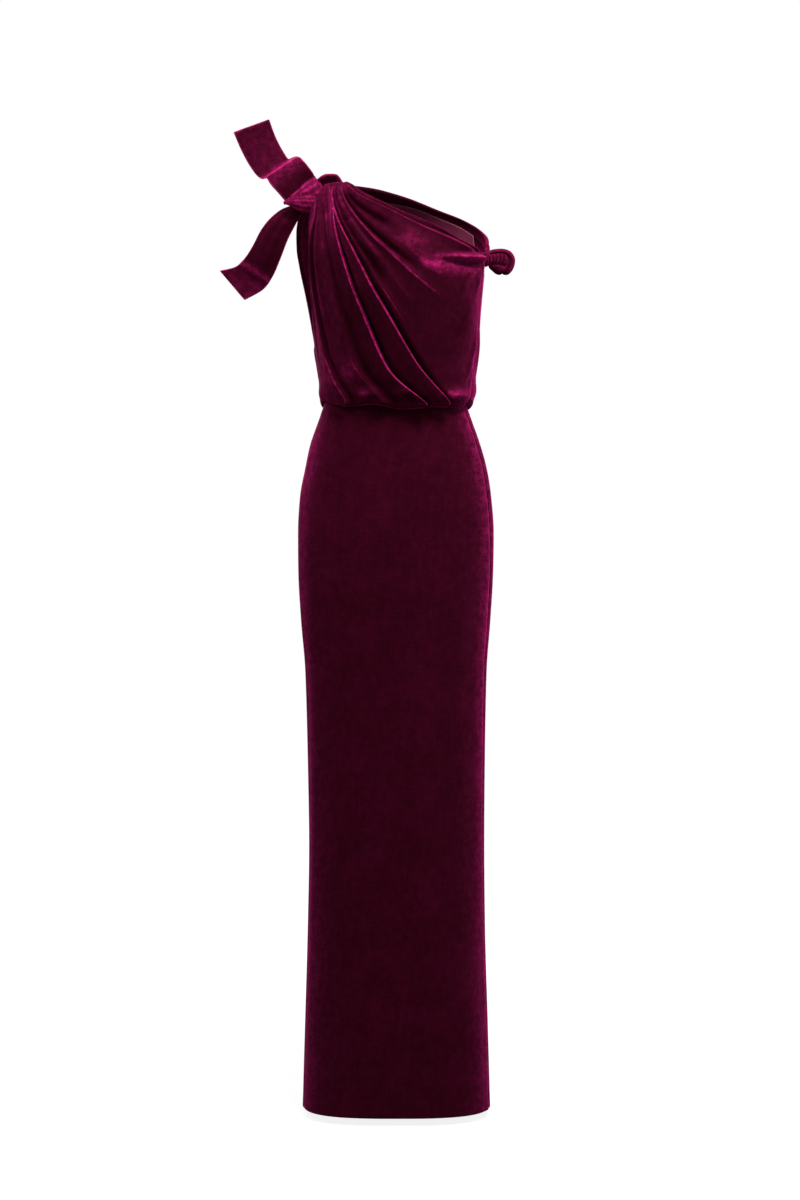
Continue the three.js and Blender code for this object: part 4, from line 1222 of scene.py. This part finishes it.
def roll(spine, across, pleats, depth, twist, steps=60, sides=56):
    """Section: half width cos and half thickness sin, times one plus the pleats' ripple. The ripple
    is the absolute sine, so pleats are round on top and sharp between."""
    along = np.linspace(0, 1, steps)
    row = evenly(spine, along)
    centre = row[:, :3]
    ahead = unit(np.gradient(centre, axis=0))
    across = np.asarray(across, float)
    side = unit(across - ahead * (ahead @ across)[:, None])
    up = np.cross(ahead, side)
    turn = np.linspace(0, 2 * np.pi, sides, endpoint=False)
    cap = np.sqrt(np.clip(1 - (np.abs(along - 0.5) * 2) ** 10, 0.001, 1))[:, None]
    phase = 0.5 * pleats * turn[None] + twist * along[:, None] + 0.35 * np.sin(3 * turn)[None]
    fold = np.abs(np.sin(phase))
    ridge = cap * (1 + depth * (fold - 0.6))
    wide, thick = row[:, 3:4] * ridge, row[:, 4:5] * ridge
    ring = (centre[:, None] + side[:, None] * (wide * np.cos(turn))[..., None]
            + up[:, None] * (thick * np.sin(turn))[..., None])
    number = np.arange(steps * sides).reshape(steps, sides)
    after = np.roll(number, -1, axis=1)
    quads = np.stack([number[:-1], after[:-1], after[1:], number[1:]], axis=-1).reshape(-1, 4)
    k = np.arange(sides // 2 - 1)
    lids = [np.stack([end[k], end[k + 1], end[sides - 2 - k], end[sides - 1 - k]], axis=-1)
            for end in (number[0], number[-1][::-1])]
    faces = np.concatenate([quads[:, ::-1], *lids])
    run = np.broadcast_to(along_grid(centre[None], 1)[0][:, None], ring.shape[:2])
    girth = np.broadcast_to(turn * row[:, 3:4] * MM, ring.shape[:2])
    uv = np.stack([girth, run], axis=-1).reshape(-1, 2)
    # painted highlight on the top of each pleat
    painted_light_mark = (KNOT_GLOW * fold**4).ravel()
    return ring.reshape(-1, 3), faces, uv, painted_light_mark, np.zeros(len(faces), np.int32)


def band(lines, pleats):
    """A pleated band of velvet as a wall."""
    return ribbon_wall(*ribbon_grid(lines, columns=56, rows=50, pleats=pleats, pleat_depth=0.6))


KNOTS = {
    "shoulder_knot_wrap": [
        roll(SHOULDER_WAD, UPRIGHT, 7, 0.04, 0.8), band(BAND_DOWN, 3), band(BAND_ACROSS, 4)],
    "shoulder_knot_roll": [
        roll(SHOULDER_ROLL, AWAY, 3, 0.05, 0.5), roll(UNDER_ROLL, AWAY, 3, 0.05, 0.5)],
    "side_knot_wrap": [roll(SIDE_WRAP, UPRIGHT, 2, 0.08, 30, steps=110)],
    "side_knot_loop": [roll(SIDE_LOOP, AWAY, 5, 0.08, 2)],
    "side_knot_end": [roll(SIDE_END, AWAY, 3, 0.08, 1)],
}
for name, parts in KNOTS.items():
    sew(piece_of(name, parts), name)

# %% [markdown]
# The studio: a floor below the hem that mostly glows by itself and takes only a faint shadow, a
# white surround that the camera sees, and soft boxes. The strongest box stands high to the right of
# the camera. Long narrow ones at both sides draw the bright lines down the skirt, and one behind
# shows the back in views from there.

# %% Studio
FLOOR_DROP = 0.012  # metres below the hem
FLOOR_SIZE = 60.0
MIDDLE = (0.1, 0.0, -0.5)
BUST = (0.1, 0.0, -0.2)
# name, place, what it is turned to, width and height in metres, watts
LIGHTS = [
    ("key", (0.9, -1.7, 2.7), BUST, 1.3, 1.3, 215),
    ("front", (0.4, -3.6, 0.0), MIDDLE, 2.0, 2.6, 22),
    ("fill", (-1.9, -1.8, 1.8), BUST, 1.2, 1.2, 44),
    ("side_right", (2.4, -0.3, -0.4), MIDDLE, 0.5, 2.6, 20),
    ("back", (-0.8, 3.4, 1.2), BUST, 2.0, 2.0, 70),
    ("side_left", (-2.4, -0.2, -0.4), MIDDLE, 0.6, 2.6, 10),
]


def grey(level):
    """A grey as a shader colour."""
    return (level, level, level, 1)


def studio_floor():
    """A wide plane whose paper glows white away from the gown, so that it has no far edge."""
    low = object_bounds()[0][2] - FLOOR_DROP
    bpy.ops.mesh.primitive_plane_add(size=FLOOR_SIZE, location=(0.1, 0.0, low))
    floor = bpy.context.object
    floor.name = "floor"
    finish = Finish("floor_paper", Roughness=0.9, Emission_Strength=1.0)
    place = finish.node("ShaderNodeTexCoord", {}, {}, 3)
    away = finish.node("ShaderNodeVectorMath", {"operation": "LENGTH"}, {0: place}, 1)
    far = finish.spread(away, 0.5, 1.8)
    grain = finish.noise(place, 60.0, 2.0)
    paper = finish.mixed(grain, (0.155, 0.155, 0.16, 1), grey(0.165))
    finish.set("Base Color", finish.mixed(far, paper, grey(0.10)))
    finish.set("Emission Color", finish.mixed(far, grey(0.86), grey(1.0)))
    floor.data.materials.append(finish.data)
    floor.visible_diffuse = floor.visible_glossy = False  # it must not light the gown from below


def soft_box(name, place, target, size, size_y, power):
    """An area light at a place in metres, turned to face a target."""
    data = bpy.data.lights.new(name, "AREA")
    data.shape = "RECTANGLE"
    data.size, data.size_y = size, size_y
    data.energy = power
    light = bpy.data.objects.new(name, data)
    light.location = place
    towards = np.array(target, float) - np.array(place, float)
    tilt = math.atan2(math.hypot(towards[0], towards[1]), -towards[2])
    light.rotation_euler = (tilt, 0, math.atan2(towards[0], -towards[1]) + math.pi)
    bpy.context.scene.collection.objects.link(light)


def surround():
    """White to the camera, dimmer as a light, so the sides of the gown stay rich."""
    world = bpy.data.worlds.new("studio")
    bpy.context.scene.world = world
    world.use_nodes = True
    tree = world.node_tree
    tree.nodes.clear()
    seen, lit = (tree.nodes.new("ShaderNodeBackground") for _ in range(2))
    seen.inputs[0].default_value = lit.inputs[0].default_value = grey(1)
    seen.inputs[1].default_value, lit.inputs[1].default_value = 1.0, 0.10
    ray = tree.nodes.new("ShaderNodeLightPath")
    mix = tree.nodes.new("ShaderNodeMixShader")
    out = tree.nodes.new("ShaderNodeOutputWorld")
    tree.links.new(ray.outputs["Is Camera Ray"], mix.inputs[0])
    tree.links.new(lit.outputs[0], mix.inputs[1])
    tree.links.new(seen.outputs[0], mix.inputs[2])
    tree.links.new(mix.outputs[0], out.inputs[0])


studio_floor()
surround()
for light in LIGHTS:
    soft_box(*light)
print("soft boxes:", len(LIGHTS))
bpy.context.scene.view_settings.view_transform = "Standard"
